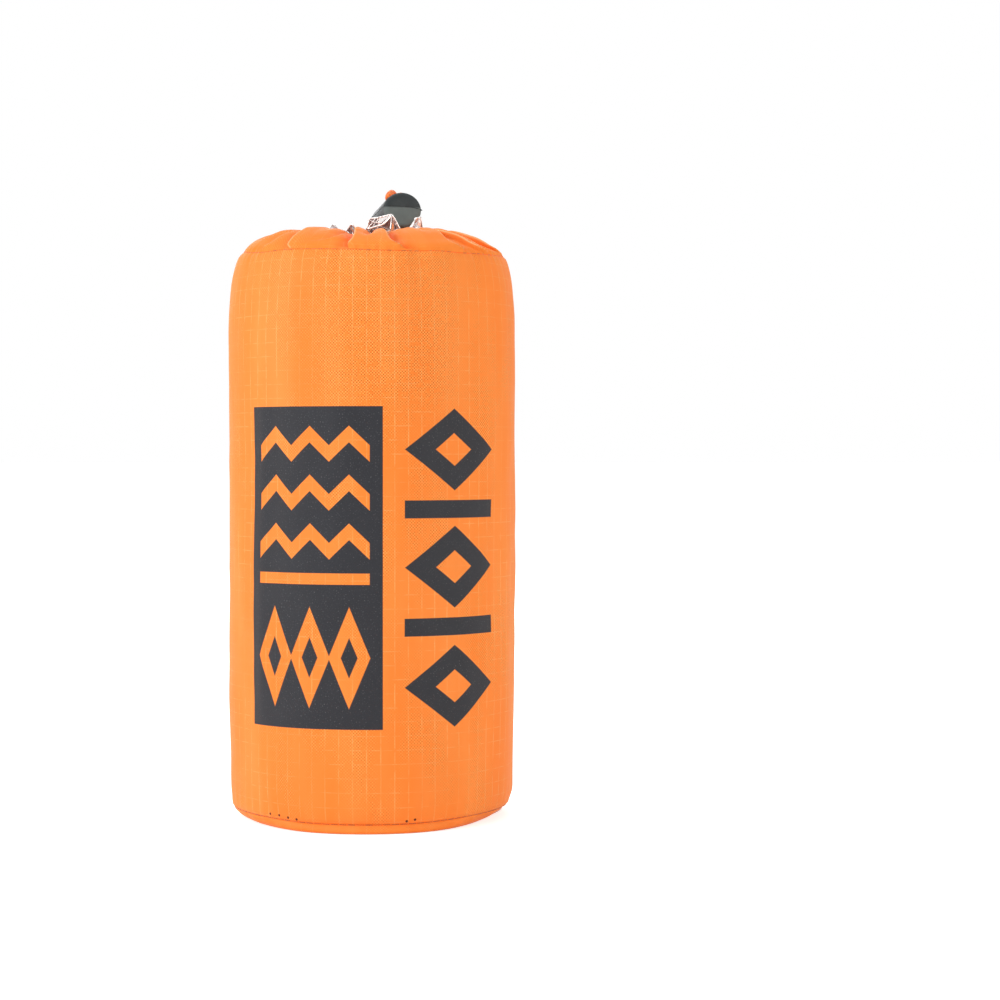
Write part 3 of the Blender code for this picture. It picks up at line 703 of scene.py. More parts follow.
def rectangle(u, v, left, right, low, high):
    across = (right - left) / 2 - (u - (left + right) / 2).math("ABSOLUTE")
    upward = (high - low) / 2 - (v - (low + high) / 2).math("ABSOLUTE")
    return inside(across.math("MINIMUM", upward))


def lozenge(u, v, middle, height, half_wide, half_high):
    away = (u - middle).math("ABSOLUTE") / half_wide, (v - height).math("ABSOLUTE") / half_high
    return inside((1 - away[0] - away[1]) * min(half_wide, half_high) * 0.7)


def zigzag(u, v, left, right, height, swing, wave, half_stroke):
    line = (u - left).math("PINGPONG", wave / 2) * (2 * swing / (wave / 2)) + (height - swing)
    stroke = half_stroke - (v - line).math("ABSOLUTE")
    return inside(stroke) * rectangle(u, v, left, right, height - 20, height + 20)


# Left, right (degrees from the front), low and high edge of the block, and the same of the column
BLOCK = (-50.2, 7.0, 28.0, 114.0)
COLUMN = (15.4, 57.2, 28.0, 113.5)
MARGIN = 3.5


def front_print(u, v):
    left, right = at_angle(BLOCK[0]), at_angle(BLOCK[1])
    wave = (right - left - 2 * MARGIN) / 3
    ink = rectangle(u, v, left, right, BLOCK[2], BLOCK[3])
    ink = ink - rectangle(u, v, left + MARGIN, right - MARGIN, 66.5, 69.5)
    for height in (104, 91, 78):
        ink = ink - zigzag(u, v, left + MARGIN, right - MARGIN, height, 2.6, wave, 2.2)
    for place in (-1, 0, 1):
        middle = (left + right) / 2 + place * wave
        ink = ink - lozenge(u, v, middle, 47, 5.7, 13.5) + lozenge(u, v, middle, 47, 2.3, 5.4)
    left, right = at_angle(COLUMN[0]), at_angle(COLUMN[1])
    middle = (left + right) / 2
    for height in (102.5, 71, 39):
        shape = lozenge(u, v, middle, height, 14.6, 11.0) - lozenge(u, v, middle, height, 5.8, 4.4)
        ink = ink.math("MAXIMUM", shape)
    for height in (86.5, 55):
        ink = ink.math("MAXIMUM", rectangle(u, v, left, right, height - 2.4, height + 2.4))
    return ink.math("MAXIMUM", 0.0).math("MINIMUM", 1.0)


def lit_front_weave(u, v):
    """1 at the upper front, where the light falls on the weave and its painted light and shade are strongest."""
    return u.step(at_angle(-28), at_angle(-14)) * u.step(at_angle(46), at_angle(28)) * v.step(104, 122)


print("print reaches from", round(at_angle(BLOCK[0]), 1), "to", round(at_angle(COLUMN[1]), 1), "mm across the cloth")

# %% [markdown]
# ## The wall of the sack
# The wall is one panel, rolled to a tube and closed by a seam at the back. It hangs on a firm roll, so it is almost a
# cylinder, but cloth never lies quite flat: soft upright creases run down it, it draws in to the stitching at the hem
# and puckers a little at both rows of thread. A net of 420 by 160 points is fine enough to hold all that as real shape,
# so the light finds it. The cloth map is the length round and the length upward, so the weave runs straight.
#
# Wall and hem share one outline. The seam between them isn't level: a table tells how far it rises at each angle. A
# second table rounds the foot, which is tucked under at the sides because the roll inside is soft at its edge.

# %% The sack's outline and its upper seam
# Radius and height, from the foot over the shoulder to the inside of the mouth
OUTER_PROFILE = [
    (38.6, 3), (39.3, 3.35), (39.85, 6), (40.15, 10), (40.2, 25), (40.2, 60), (40.2, 100), (40.2, 128), (40.1, 137),
    (39.85, 143.5), (39.4, 149), (38.75, 153), (38, 155.6), (37.35, 156.75), (36.1, 158.15), (32.4, 160.6), (29, 162.1),
    (25.5, 162.95), (22, 163.3), (18.6, 163), (16.4, 162.1), (15.8, 160.9), (16.6, 159.4), (19.2, 158.4), (24, 158.1),
    (29.5, 157.6), (33.6, 156.7), (36.2, 155.7),
]
outline = smooth_line(OUTER_PROFILE, 1200)
outline_length = length_along(outline)
crest = outline[:, 1].argmax()


def length_up_to(height):
    return float(np.interp(height, outline[:crest, 1], outline_length[:crest]))


SEAM_AT = length_up_to(155.7)
# What turns a length along the outline into a height on the upright part of the wall
TO_HEIGHT = 60 - length_up_to(60)
# How far the seam lies above its place, in mm along the cloth, at angles round the sack
SEAM_RISE = [
    (-180, 3.2), (-164, 2.1), (-150, 1), (-139, 0.5), (-126, 1), (-112, 0.6), (-98, 0.4), (-85, 0), (-71, -0.1),
    (-58, 0.4), (-50, 0), (-36, 0.3), (-14, 0.7), (0, 1.7), (20, 1.4), (45, 0.6), (79, 0.1), (110, 0.3), (140, 1.2),
    (165, 2.6),
]
# Angle round the sack, how far the foot is drawn in at the ground and at its seam in mm, and how far it bulges
FOOT = [
    (-180, 2.3, 0.1, 0), (-168, 3.3, 0.1, 0), (-153, 3.3, 0, 0), (-140, 2.6, 0, 0), (-128, 1.5, 0, 0.3),
    (-117, 0.4, 0, 0.8), (-105, 0, 0, 1), (-80, 0, 0, 1), (-66, 0.2, 0, 0.8), (-54, 1, 0.2, 0.3), (-42, 2.6, 0.5, 0),
    (-25, 4.4, 0.8, 0), (-8, 4.8, 1, 0), (8, 4.2, 1, 0), (30, 2.6, 0.7, 0), (60, 1.2, 0.3, 0.2), (100, 0.4, 0.1, 0.4),
    (140, 1.2, 0.1, 0.2),
]
FOOT_SEAM = 3.2


def foot(angle, radius, height):
    """Rounds the foot: a soft roll doesn't press its sack flat to the ground at the sides. Works on arrays."""
    tucked, drawn, bulge = from_table(FOOT, angle, 5)
    low = np.clip((FOOT_SEAM - height) / FOOT_SEAM, 0, 1)
    radius = radius - drawn * blend_in(height, 45.0, 8.0) - tucked * low * (radius / 38.0) ** 2
    radius = radius + 0.45 * bulge * low * blend_in(radius, 36.0, 38.5)
    sunk = np.where(height < FOOT_SEAM, height / FOOT_SEAM, blend_in(height, 14.0, FOOT_SEAM))
    return radius, height - 0.6 * bulge * sunk


def on_outline(length):
    """Radius and height of a place on the sack's outline."""
    return [np.interp(length, outline_length, column) for column in outline.T]


def seam_place(angle):
    """Where the upper seam crosses the outline."""
    return SEAM_AT + from_table(SEAM_RISE, angle, 4)[0]


print("the upper seam lies", round(SEAM_AT, 1), "mm up the cloth")

# %% Folds of the mouth
# Angles at the seam, halfway and at the mouth, radius where the fold starts, depth and width of its valley, width in
# degrees, and how many degrees one side laps over the other: the left side where above 0, the right one where below
FOLDS = [
    (-164, -164.5, -165, 35, 1.3, 5, 0), (-148, -136, -132, 37.5, 1.5, 4, -1.4),
    (-124.5, -125, -127.5, 37.7, 1.6, 3.5, -2), (-110, -102.5, -101.5, 35.2, 1.7, 2.8, -1.8),
    (-100, -94.9, -96.9, 37.7, 3.5, 3.6, -2), (-90.5, -89.5, -88, 34.5, 2.6, 2.4, 0),
    (-68, -80.8, -81.2, 37.9, 4.9, 4.6, 2.4), (-57, -57, -57, 30, 0.5, 4, 0), (-40.5, -51.3, -47, 37.7, 1.9, 4, 2.2),
    (-28, -37, -40, 37.5, 0.6, 4.5, -0.6), (-12, -15.5, -17, 36.5, 1.6, 5, -1.6), (8, 7, 6.5, 37, 1.8, 5, 1.6),
    (25, 26.5, 27, 36, 1.5, 4.5, -1.8), (48, 46.5, 46, 37, 1.7, 5, 1.5), (118, 118, 118, 37, 1.6, 5, 1.6),
    (136, 135, 135, 36.5, 1.6, 5, -1.6), (154, 154, 154, 37, 1.8, 5, 1.4), (176, 175.5, 175.5, 35.5, 1.5, 5, -1.2),
]
# How far the crest of the mouth stands above the plain outline, in mm, at angles round the sack
CREST_LIFT = [
    (-180, 0.2), (-150, 0), (-138, -0.5), (-118, -0.4), (-106, -0.2), (-98, -0.6), (-88, -0.35), (-76, -0.25),
    (-60, 0.2), (-40, 0.1), (0, 0.35), (50, 0.2), (79, -0.55), (110, 0.2), (150, 0.3),
]
# Half the width of a lap in degrees, and how far its layers lie apart in mm
LAP_HALF, LAYER = 1.6, 0.6
print(len(FOLDS), "folds")

# %% Wall
# Creases: angle, its slant in degrees over the height, lowest and highest end, depth, width in degrees
CREASES = [
    (-134, 1.5, 20, 150, 0.34, 2.6), (-127, -2, 50, 140, -0.26, 4), (-146, 3, -5, 120, -0.3, 6),
    (-109, -1.5, 60, 158, -0.3, 4.5), (-100, 3, 90, 160, 0.22, 3.5), (-84, 1, -5, 70, 0.2, 5),
    (-70, 2, 20, 160, -0.2, 5), (-52, -2.5, 0, 110, 0.22, 5), (-30, 2, 50, 158, -0.26, 4), (-18, 1, 10, 130, 0.22, 4),
    (8, 2, 20, 140, -0.3, 6), (34, -2, 0, 158, 0.28, 5), (60, 1, 30, 120, -0.3, 6), (128, 2, 0, 150, 0.3, 5),
    (150, -2, 40, 158, -0.3, 5), (172, 1.5, 10, 120, 0.28, 5),
]
SIDE_SEAM = 104.0


def creases(angle, height):
    """How far the wall stands out of its plain shape, in mm."""
    out = 0.28 * soft_noise(angle, height, 26, 1) + 0.1 * soft_noise(angle, height * 1.5, 8, 2)
    for middle, slant, low, high, depth, width in CREASES:
        reach = blend_in(height, low, low + 25) * blend_in(height, high, high - 25)
        lean = middle + slant * (height - 80) / 80
        out = out + depth * reach * bell(turned_away(angle, lean), width)
    from_seam, turn = turned_away(angle, SIDE_SEAM), np.radians(angle)
    out = out - 0.7 * bell(from_seam, 0.8) - 0.25 * bell(from_seam, 4.0)
    pucker = np.sin(turn * 61 + 1) * (1 + 0.6 * np.sin(turn * 5 + 1))
    out = out + 0.07 * pucker * bell(height - 6.0, 2.0)
    return out * blend_in(height, 3.0, 7.0) * blend_in(height, 155.5, 148.0)


def near_seam(angle, away):
    """How far the cloth is drawn in by the upper seam and the folds above it, away mm along the cloth from it."""
    turn = np.radians(angle)
    out = -0.32 * bell(away, 0.55) - 0.1 * bell(away, 2.5)
    out = out + 0.09 * np.sin(turn * 83 + 0.5) * (1 + 0.6 * np.sin(turn * 7)) * bell(away, 2.2)
    for at_seam, _, _, starts, depth, _, _ in FOLDS:
        reach = depth * 0.16 * blend_in(starts, 35.0, 37.5)
        out = out - reach * bell(turned_away(angle, at_seam), 2.2 + 0.12 * np.abs(away)) * np.exp(-np.abs(away) / 8)
    return out


def round_places(length):
    """The cloth map of a net that goes once round, from the length along its profile at each point."""
    across = np.linspace(0, 360 * ROUND, length.shape[1] + 1)
    upward = np.hstack([length, length[:, :1]])
    return np.stack(np.broadcast_arrays(across[None, :], upward), 2)


rows, columns = 160, 420
angle, turn = ring_angles(columns)
share = np.r_[np.linspace(0, 0.998, rows - 1), 1][:, None]
length = (share + 0.12 * share * (1 - share)) * seam_place(angle)
radius, height = on_outline(length)
radius = radius + creases(angle, height) + near_seam(angle, length - seam_place(angle))
radius, height = foot(angle, radius, height)
# Needle holes near the foot, each given a dark spot of painted shade
NEEDLE_HOLE_SHADE = [(-131.1, 4.3), (-126.3, 4.3), (-121.9, 4.0), (-117.9, 3.8), (-73.6, 3.9), (-70.3, 4.2)]
shaded_holes = [((degrees + 180) * ROUND, height_there) for degrees, height_there in NEEDLE_HOLE_SHADE]
wall_finish = ripstop("ripstop wall", front_print, lit_front_weave, shaded_holes=shaded_holes)
net = Net().add(round_points(radius, turn, height), round_places(length + TO_HEIGHT))
wall = dress(net.piece("sack_wall_cloth", wall_finish), "sack", "ripstop", "sack_wall")
# How dark the crease of the upper seam is painted, as painted shade
SEAM_PAINTED_SHADE = 0.75
tell(wall, "painted_shade_and_highlight", np.where(share == 1, SEAM_PAINTED_SHADE, 0.0) + 0 * angle)
print("wall of", len(wall.data.vertices), "points,", len(wall_finish.tree.nodes), "shader nodes")

# %% [markdown]
# ## The gathered hem
# The top edge of the cloth is folded in and sewn down, and the cord runs in the channel that this makes. When the cord
# is drawn, the cloth above the stitching has to fit a mouth less than half as wide, so it lies in folds: broad panels,
# each with an edge that laps over its neighbour and a valley beside it, shallow at the seam and deep at the mouth.
#
# Cloth simulation could draw the mouth in, but it would put the folds anywhere. Here each fold is a row of a table. The
# net of the hem is moved by all of them together: the valley lowers it, and the lap pushes the points of both sides
# past each other, so that the mesh really lies in three layers there.

# %% Gathering
# The shoulder is a little lower at the right: radii between which that comes in, and between which it goes again
SHOULDER = (37.2, 33.0, 29.0, 23.0)


def folds_near(angle, radius):
    """For each fold: the degrees that a point lies from its line, how far the fold has opened there, and its row."""
    for row in FOLDS:
        at_seam, halfway, at_mouth, starts = row[:4]
        line = halfway + (at_seam - halfway) * np.exp(-np.clip(starts - radius, 0, 20) / 0.9)
        line = line + (at_mouth - halfway) * blend_in(radius, 33.0, 25.0)
        yield turned_away(angle, line), blend_in(radius, starts + 0.5, starts - 1.2), row


def gather(angle, radius, height, follow=1.0, laps=True, loose=1.0):
    """The place of a point of the plain hem, angle in degrees, once the mouth is drawn in. Works on arrays.

    follow is the share of the folds that a piece in the channel takes part in, laps says whether the layers are
    pushed past each other, and loose is 0 where the cloth is held by the seam."""
    moved = np.zeros(np.broadcast(angle, radius).shape)
    lift = from_table(CREST_LIFT, angle, 0)[0] * blend_in(radius, 37.5, 29.0) + moved
    for away, grown, (_, _, _, starts, depth, width, lap) in folds_near(angle, radius):
        side = np.sign(lap)
        under = 1 - 0.5 * abs(side) * (1 - side * np.tanh(1.2 * away))
        valley = np.exp(-np.sqrt(away**2 + 0.5) / width)
        lift = lift - depth * blend_in(radius, starts + 0.5, starts - 6.0) * valley * under
        if laps:
            moved = moved - abs(lap) * grown * away / LAP_HALF * np.exp(0.5 - 0.5 * (away / LAP_HALF) ** 2)
            lift = lift - side * LAYER * grown * np.tanh(away / 0.8) * bell(away, 5.0)
    lift = lift * loose
    turn = np.radians(angle + moved * loose)
    lean = math.radians(50) * blend_in(radius, 27.0, 37.4)
    rise, full, fall, end = SHOULDER
    shoulder = blend_in(radius, rise, full) * (1 - blend_in(radius, fall, end))
    z = height + follow * lift * np.cos(lean) - 0.7 * shoulder * np.cos(turn)
    return round_points(radius + follow * lift * np.sin(lean), turn, z)


def painted_fold_light(angle, radius):
    """Painted shade and glow above 0, in a fold under the neighbour; painted highlight below 0, along its edge."""
    painted_shade_and_highlight = np.zeros(np.broadcast(angle, radius).shape)
    for away, grown, (_, _, _, _, depth, width, lap) in folds_near(angle, radius):
        if lap:
            beyond = np.sign(lap) * away
            painted_shade_and_highlight = painted_shade_and_highlight + min(1.0, depth / 2.6) * grown * blend_in(beyond, -0.3, 0.8) * np.exp(-beyond.clip(0) / width)
            painted_shade_and_highlight = painted_shade_and_highlight - 0.8 * grown * bell(beyond + 1.2, 0.45)
    return painted_shade_and_highlight * blend_in(radius, 20.0, 26.0)


rows, columns = 84, 1080
angle, turn = ring_angles(columns)
share = np.r_[0, 0.004, np.linspace(0.012, 1, rows - 2)][:, None]
length = seam_place(angle) + (share - 0.12 * share * (1 - share)) * (outline_length[-1] - seam_place(angle))
away = length - seam_place(angle)
radius, height = on_outline(length)
ripple = 0.14 * np.sin(turn * 47 + 2 * np.sin(turn * 5)) * blend_in(radius, 27.0, 17.0)
ripple = ripple + 0.1 * np.sin(turn * 29 + 1.0) * blend_in(radius, 35.0, 25.0)
rough = 0.22 * soft_noise(angle, height * 2 + radius * 2, 9, 5) * blend_in(radius, 37.4, 33.0)
outward = near_seam(angle, away) * blend_in(away, 14.0, 6.0)
points = gather(angle, radius + outward, height + ripple + rough, loose=blend_in(away, 0.0, 1.4))
net = Net().add(points, round_places(length + TO_HEIGHT))
hem = net.piece("hem_cloth", ripstop("ripstop hem", grid=0.35, shine=0.15))
# Painted shade in the folds and painted highlight along their edges, with painted shade along the seam.
painted_shade_and_highlight = painted_fold_light(angle, radius + 0 * angle) * blend_in(share, 0.0, 0.012)
painted_shade_and_highlight[0] = SEAM_PAINTED_SHADE
tell(hem, "painted_shade_and_highlight", painted_shade_and_highlight)
print("hem of", len(hem.data.vertices), "points and", len(FOLDS), "folds")

# %% [markdown]
# The cord leaves the channel through a buttonhole at the back, so the hem needs a hole there. The faces whose middle
# lies inside the buttonhole, in the cord lock's own frame, are taken out, and a sewn ring covers the edge.

# %% Buttonhole
BUTTONHOLE_HALF = (2.75, 1.45)
wide, high = [half + 0.25 for half in BUTTONHOLE_HALF]
into_lock = lock_frame.inverted()
shape = bmesh.new()
shape.from_mesh(hem.data)
gone = []
for face in shape.faces:
    place = into_lock @ (face.calc_center_median() / MM)
    if abs(place.x) < wide and abs(place.z - HOLE_PLACE) < high and -14 < place.y < -5:
        gone.append(face)
bmesh.ops.delete(shape, geom=gone, context="FACES")
shape.to_mesh(hem.data)
shape.free()
dress(hem, "sack", "ripstop", "hem_channel")
print(len(gone), "faces cut out for the buttonhole")

# %% [markdown]
# ## Sewing thread
# A row of lockstitch is a chain of short arcs: each stitch rises out of one needle hole and goes down the next. A
# dashed texture would lie flat, so every stitch is a small bent tube of its own, with its ends sunk in the cloth.


# %% Thread finish and stitches
def thread(name, tone):
    f = Finish(name, Sheen_Weight=0.2)
    along, around, _ = f.split(f.cloth())
    ply = ((along * 1.6 + around * 2.0) * math.pi).math("SINE").math("ABSOLUTE")
    lint = f.noise(f.cloth(), 5.0, 3.0)
    # Painted shade: the thread is darker in the grooves of its twist.
    body = f.mix(ply.step(0.1, 0.7), colour(*[c * 0.62 for c in tone]), colour(*tone))
    body = f.mix(lint * 0.4, body, colour(255, 170, 96))
    return f.wear(Base_Color=body, Roughness=0.5 + 0.3 * lint, Normal=f.bump(ply, 0.00006))


def stitch(net, start, stop, outward, rise, radius):
    """One stitch: a bent tube from start to stop whose middle stands out of the cloth."""
    share = np.linspace(0, 1, 9)[:, None]
    path = start + (stop - start) * share + outward * (rise * (1 - (2 * share - 1) ** 4) - radius)
    net.tube(path, radius * (0.55 + 0.45 * np.sin(math.pi * share[:, 0]) ** 0.5), sides=8)


def row_of_stitches(name, replaced, count, gap, surface, rise, radius, finish):
    """Stitches all round the sack. surface gives the place and outward way of an angle."""
    net = Net()
    for number in range(count):
        first = 360 / count * number - 180
        start, way = surface(first + 360 / count * gap / 2)
        stop, _ = surface(first + 360 / count * (1 - gap / 2))
        sunk = 0.5 + 0.5 * math.sin(number * 2.4 + 3 * math.sin(number * 0.7))
        stitch(net, start, stop, way, rise - radius * 1.3 * sunk, radius)
    dress(net.piece(name, finish), "sack", "sewing_thread", replaced)
    print(name, "has", count, "stitches")


def hem_row(degrees):
    """In the crease of the upper seam."""
    radius, height = on_outline(seam_place(degrees))
    radius += near_seam(degrees, 0.0) + 0.02
    turn = math.radians(degrees)
    return round_points(radius, turn, height), round_points(1.0, turn, 0.5)


def base_row(degrees):
    """In the crease between the wall and the welt."""
    radius, height = foot(degrees, 39.0, FOOT_SEAM)
    turn = math.radians(degrees)
    return round_points(radius, turn, height), round_points(1.0, turn, 0.0)


# Thread tones: the thread's own colour, made darker as painted shade of the crease the row lies in.
row_of_stitches("hem_stitches", "hem_stitching", 124, 0.16, hem_row, 0.13, 0.1, thread("hem thread", (214, 92, 24)))
row_of_stitches("base_stitches", "base_stitching", 104, 0.14, base_row, 0.1, 0.15, thread("base thread", (184, 66, 10)))

# %% [markdown]
# ## The foot of the sack
# Wall and base are sewn together inside out and turned, which leaves a soft rolled band round the foot, about 3 mm
# high. The base is a round panel of the same cloth. Both are nets: the band with small waves where the thread pulls
# it, and the base with the slight hollow and the faint ripples of a flat panel under a firm roll.

# %% Welt and base
WELT_PROFILE = [
    (38.2, 3.25), (38.9, 3.05), (39.35, 2.5), (39.6, 1.6), (39.45, 0.85), (39, 0.3), (38.3, 0.05), (37.4, 0.1),
    (36.8, 0.5), (36.4, 1.2),
]
profile = smooth_line(WELT_PROFILE, 26)
radius, height = profile[:, :1], profile[:, 1:]
angle, turn = ring_angles(420)
pull = 0.11 * np.sin(turn * 42) + 0.14 * soft_noise(angle, 0.0, 5, 8) + 0.1 * soft_noise(angle, 0.0, 2.5, 9)
outer = bell(height - 1.6, 1.2) * blend_in(radius, 38.6, 39.3)
height = np.maximum(height + 0.12 * pull * blend_in(height, 0.6, 2.0), 0.02)
radius, height = foot(angle, radius + pull * outer, height)
along = 170 - length_along(profile)
places = round_places(np.broadcast_to(along[::-1, None], radius.shape))
net = Net().add(round_points(radius, turn, height)[::-1], places)
dress(net.piece("welt_cloth", ripstop("ripstop welt", grid=0.3)), "sack", "ripstop", "base_welt")

rings = np.r_[np.linspace(0.4, 33, 24), 34.5, 35.6, 36.3, 36.6]
angle, turn = ring_angles(120)
radius = rings[:, None] + 0 * turn
waves = 0.25 * soft_noise(angle, radius * 3, 14, 12) + 0.12 * np.sin(turn * 38) * blend_in(radius, 28.0, 35.0)
height = 0.55 - 0.45 * blend_in(radius, 20.0, 34.0) + 0.3 * waves + 0.8 * blend_in(radius, 35.2, 36.6)
radius, height = foot(angle, radius, np.maximum(height, 0.03))
points = round_points(radius, turn, height)
flat = points[..., :2] + 60
net = Net().add(points, np.hstack([flat, flat[:, :1]]))
dress(net.piece("base_cloth", ripstop("ripstop base")), "sack", "ripstop", "sack_base")
print("welt and base are in place")

# %% [markdown]
# ## The held part of the cord
# Between the two holes of its lock the cord goes once round the mouth, inside the channel. It joins two bodies: the
# part in the channel stays with the sack, and the two strands rise with the lock when that is slid along the cord. A
# strand that only stretched would draw its braid out of shape, so each strand goes on for the length of that slide
# straight down inside the sack, out of sight, and comes up through the buttonhole with the lock.

# %% Held cord
# Angle, radius and height round the channel, before the mouth is drawn in
CHANNEL = [(87.0, 22.9, 160.1), (94.5, 21.6, 160.2), (103.0, 20.1, 160.5)]
CHANNEL += [(float(degrees), 19.0, 160.8) for degrees in range(112, 404, 8)]
CHANNEL += [(50.0, 21.2, 160.5), (59.0, 23.8, 160.1), (68.0, 25.9, 159.9)]
# How far the lock slides, and where a strand goes over into the channel, seen from the lock
SLIDE, BURIED = 10.0, -7.9
strand = [(4.45, 11.85)] + [(y, HOLE_PLACE) for y in (2.5, 0.0, -3.0, -6.0, -9.0, -12.0, BURIED - SLIDE)]
net = Net()
for side in (-STRAND_OFFSET, STRAND_OFFSET):
    net.tube(smooth_line([in_lock(side, y, z) for y, z in strand], 50), CORD_RADIUS)
dress(net.piece("cord_strands", cord_finish), "lock", "braided_cord")

route = [tuple(in_lock(STRAND_OFFSET, y, HOLE_PLACE)) for y in (BURIED, -8.5)]
for place in CHANNEL:
    route.append(tuple(gather(*np.array(place)[:, None], 0.85, laps=False)[0]))
route += [tuple(in_lock(-STRAND_OFFSET, y, HOLE_PLACE)) for y in (-8.5, BURIED)]
path = smooth_line(route, 220)
dress(Net().tube(path, CORD_RADIUS).piece("cord_in_channel", cord_finish), "sack", "braided_cord", "drawcord")
print("cord in the channel is", round(float(length_along(path)[-1]), 1), "mm long")

# %% [markdown]
# ## The sewn edge of the buttonhole
# A buttonhole is overcast: the thread goes round the cut edge again and again, close together. So the piece is a soft
# stadium-shaped cord with 72 short stitches laid across it.

# %% Buttonhole edge
RING_PLACE = -7.7
half_long, half_wide = [half + 0.32 for half in BUTTONHOLE_HALF]
turn = np.linspace(0, math.tau, 73)[:-1]
x = half_wide * np.cos(turn) + (half_long - half_wide) * np.clip(3 * np.cos(turn), -1, 1)
z = half_wide * np.sin(turn)
ring = np.array([in_lock(a, RING_PLACE, HOLE_PLACE + b) for a, b in zip(x, z)])
ring_middle = np.array(in_lock(0, RING_PLACE, HOLE_PLACE))
net = Net().tube(smooth_line(np.vstack([ring, ring[:1]]), 90), 0.3, sides=8, caps=False)
half_turn = math.pi * np.linspace(0, 1, 7)[:, None]
for place in ring:
    outward = (place - ring_middle) / np.linalg.norm(place - ring_middle)
    over = outward * np.cos(half_turn) + np.array(lock_up) * np.sin(half_turn)
    net.tube(place + 0.36 * over, 0.1, sides=6)
edge = net.piece("buttonhole_overcast", thread("buttonhole thread", (232, 104, 26)))
dress(edge, "sack", "sewing_thread", "buttonhole_edge")
print(len(ring), "overcast stitches")

# %% [markdown]
# ## The cord lock
# The lock is moulded in black plastic: a barrel, closed at one end, and a plunger with a mushroom head that a spring
# pushes out, so that the cord is pinched between their holes. Each is a turned profile, a little oval at the barrel,
# with a slot cut through. A moulded part also has a parting line: the thin ridge where the two halves of the mould
# meet, with a tiny tip of flash. It goes on as its own thin net. The plastic has the fine grain of a spark-eroded
# mould. The lower half of the barrel is painted paler, as painted light, and made a little rougher.


# %% Black plastic
def plastic(name, lit_lower_half=False):
    """Moulded plastic. Where asked, the lower half of the barrel is painted paler and duller, as painted light."""
    f = Finish(name, Specular_IOR_Level=0.26)
    place = f.place()
    grain = f.noise(place, 5200.0, 3.0, 0.65)
    flow = f.noise(place, 260.0, 3.0, 0.5)
    scuff = f.noise(f.vector("MULTIPLY", place, (1.0, 1.0, 9.0)), 420.0, 4.0, 0.7)
    body = f.mix(flow.step(0.3, 0.7) * 0.6, colour(45, 51, 53), colour(60, 66, 68))
    body = f.mix(scuff.step(0.62, 0.8) * 0.4, body, colour(112, 116, 116))
    rough = 0.4 + 0.22 * grain
    if lit_lower_half:
        from_middle = f.vector("SUBTRACT", place, tuple(LOCK_PLACE * MM))
        up, along = [f.vector("DOT_PRODUCT", from_middle, tuple(way), output=1) for way in (lock_up, lock_looks)]
        # Painted light: the lower half of the barrel's outside is painted paler.
        below = up.step(0.0009, 0.0003) * along.step(-0.0016, -0.0004)
        body = f.mix(below * (0.55 + 0.45 * flow), body, colour(113, 123, 122))
        rough = rough + 0.15 * below
    return f.wear(Base_Color=body, Roughness=rough, Normal=f.bump(grain * 0.7 + flow * 0.3, 0.00005))


def cutter(name, low, high, soften):
    """A box in the cord lock's frame, with softened edges, that cuts a piece."""
    shape = bmesh.new()
    bmesh.ops.create_cube(shape, size=1.0)
    middle, size = (Vector(low) + Vector(high)) / 2, Vector(high) - Vector(low)
    for point in shape.verts:
        point.co = middle + Vector(a * b for a, b in zip(point.co, size))
    bmesh.ops.bevel(shape, geom=shape.edges[:], offset=soften, segments=4, profile=0.5, affect="EDGES")
    bmesh.ops.transform(shape, matrix=Matrix.Scale(MM, 4) @ lock_frame, verts=shape.verts)
    return from_shape(name, shape)


OVAL = (1.07, 0.98)
LOCK_STEPS = 96


def turned_in_lock(name, profile, finish, oval_from=99.0):
    """A profile of (radius, distance from the closed end) turned about the lock's axis, oval outside a radius."""
    shape = bmesh.new()
    rings = []
    for radius, along in profile:
        wide, high = [radius * (share if radius > oval_from or along < 0.5 else 1.0) for share in OVAL]
        turns = [math.tau * step / LOCK_STEPS for step in range(LOCK_STEPS if radius else 1)]
        rings.append([shape.verts.new(in_lock(wide * math.cos(t), high * math.sin(t), along) * MM) for t in turns])
    for inner, outer in zip(rings, rings[1:]):
        for step in range(LOCK_STEPS):
            after = (step + 1) % LOCK_STEPS
            corners = [inner[step % len(inner)], inner[after % len(inner)]]
            corners += [outer[after % len(outer)], outer[step % len(outer)]]
            shape.faces.new(list(dict.fromkeys(corners)))
    bmesh.ops.recalc_face_normals(shape, faces=shape.faces)
    return from_shape(name, shape, finish)


def cut(piece, helper, edge):
    """Cuts the helper out of the piece, rounds the sharp edges a little and shades it smooth."""
    boolean = piece.modifiers.new("cut", "BOOLEAN")
    boolean.operation, boolean.object, boolean.solver = "DIFFERENCE", helper, "EXACT"
    rounding = piece.modifiers.new("edges", "BEVEL")
    rounding.width, rounding.segments, rounding.limit_method = edge * MM, 2, "ANGLE"
    rounding.angle_limit = math.radians(50)
    evaluated = piece.evaluated_get(bpy.context.evaluated_depsgraph_get())
    mesh = bpy.data.meshes.new_from_object(evaluated)
    piece.modifiers.clear()
    piece.data = mesh
    mesh.shade_smooth()
    mesh.set_sharp_from_angle(angle=math.radians(45))
    bpy.data.objects.remove(helper)
    print(piece.name, "has", len(mesh.polygons), "faces")


lock_finish = plastic("lock plastic")

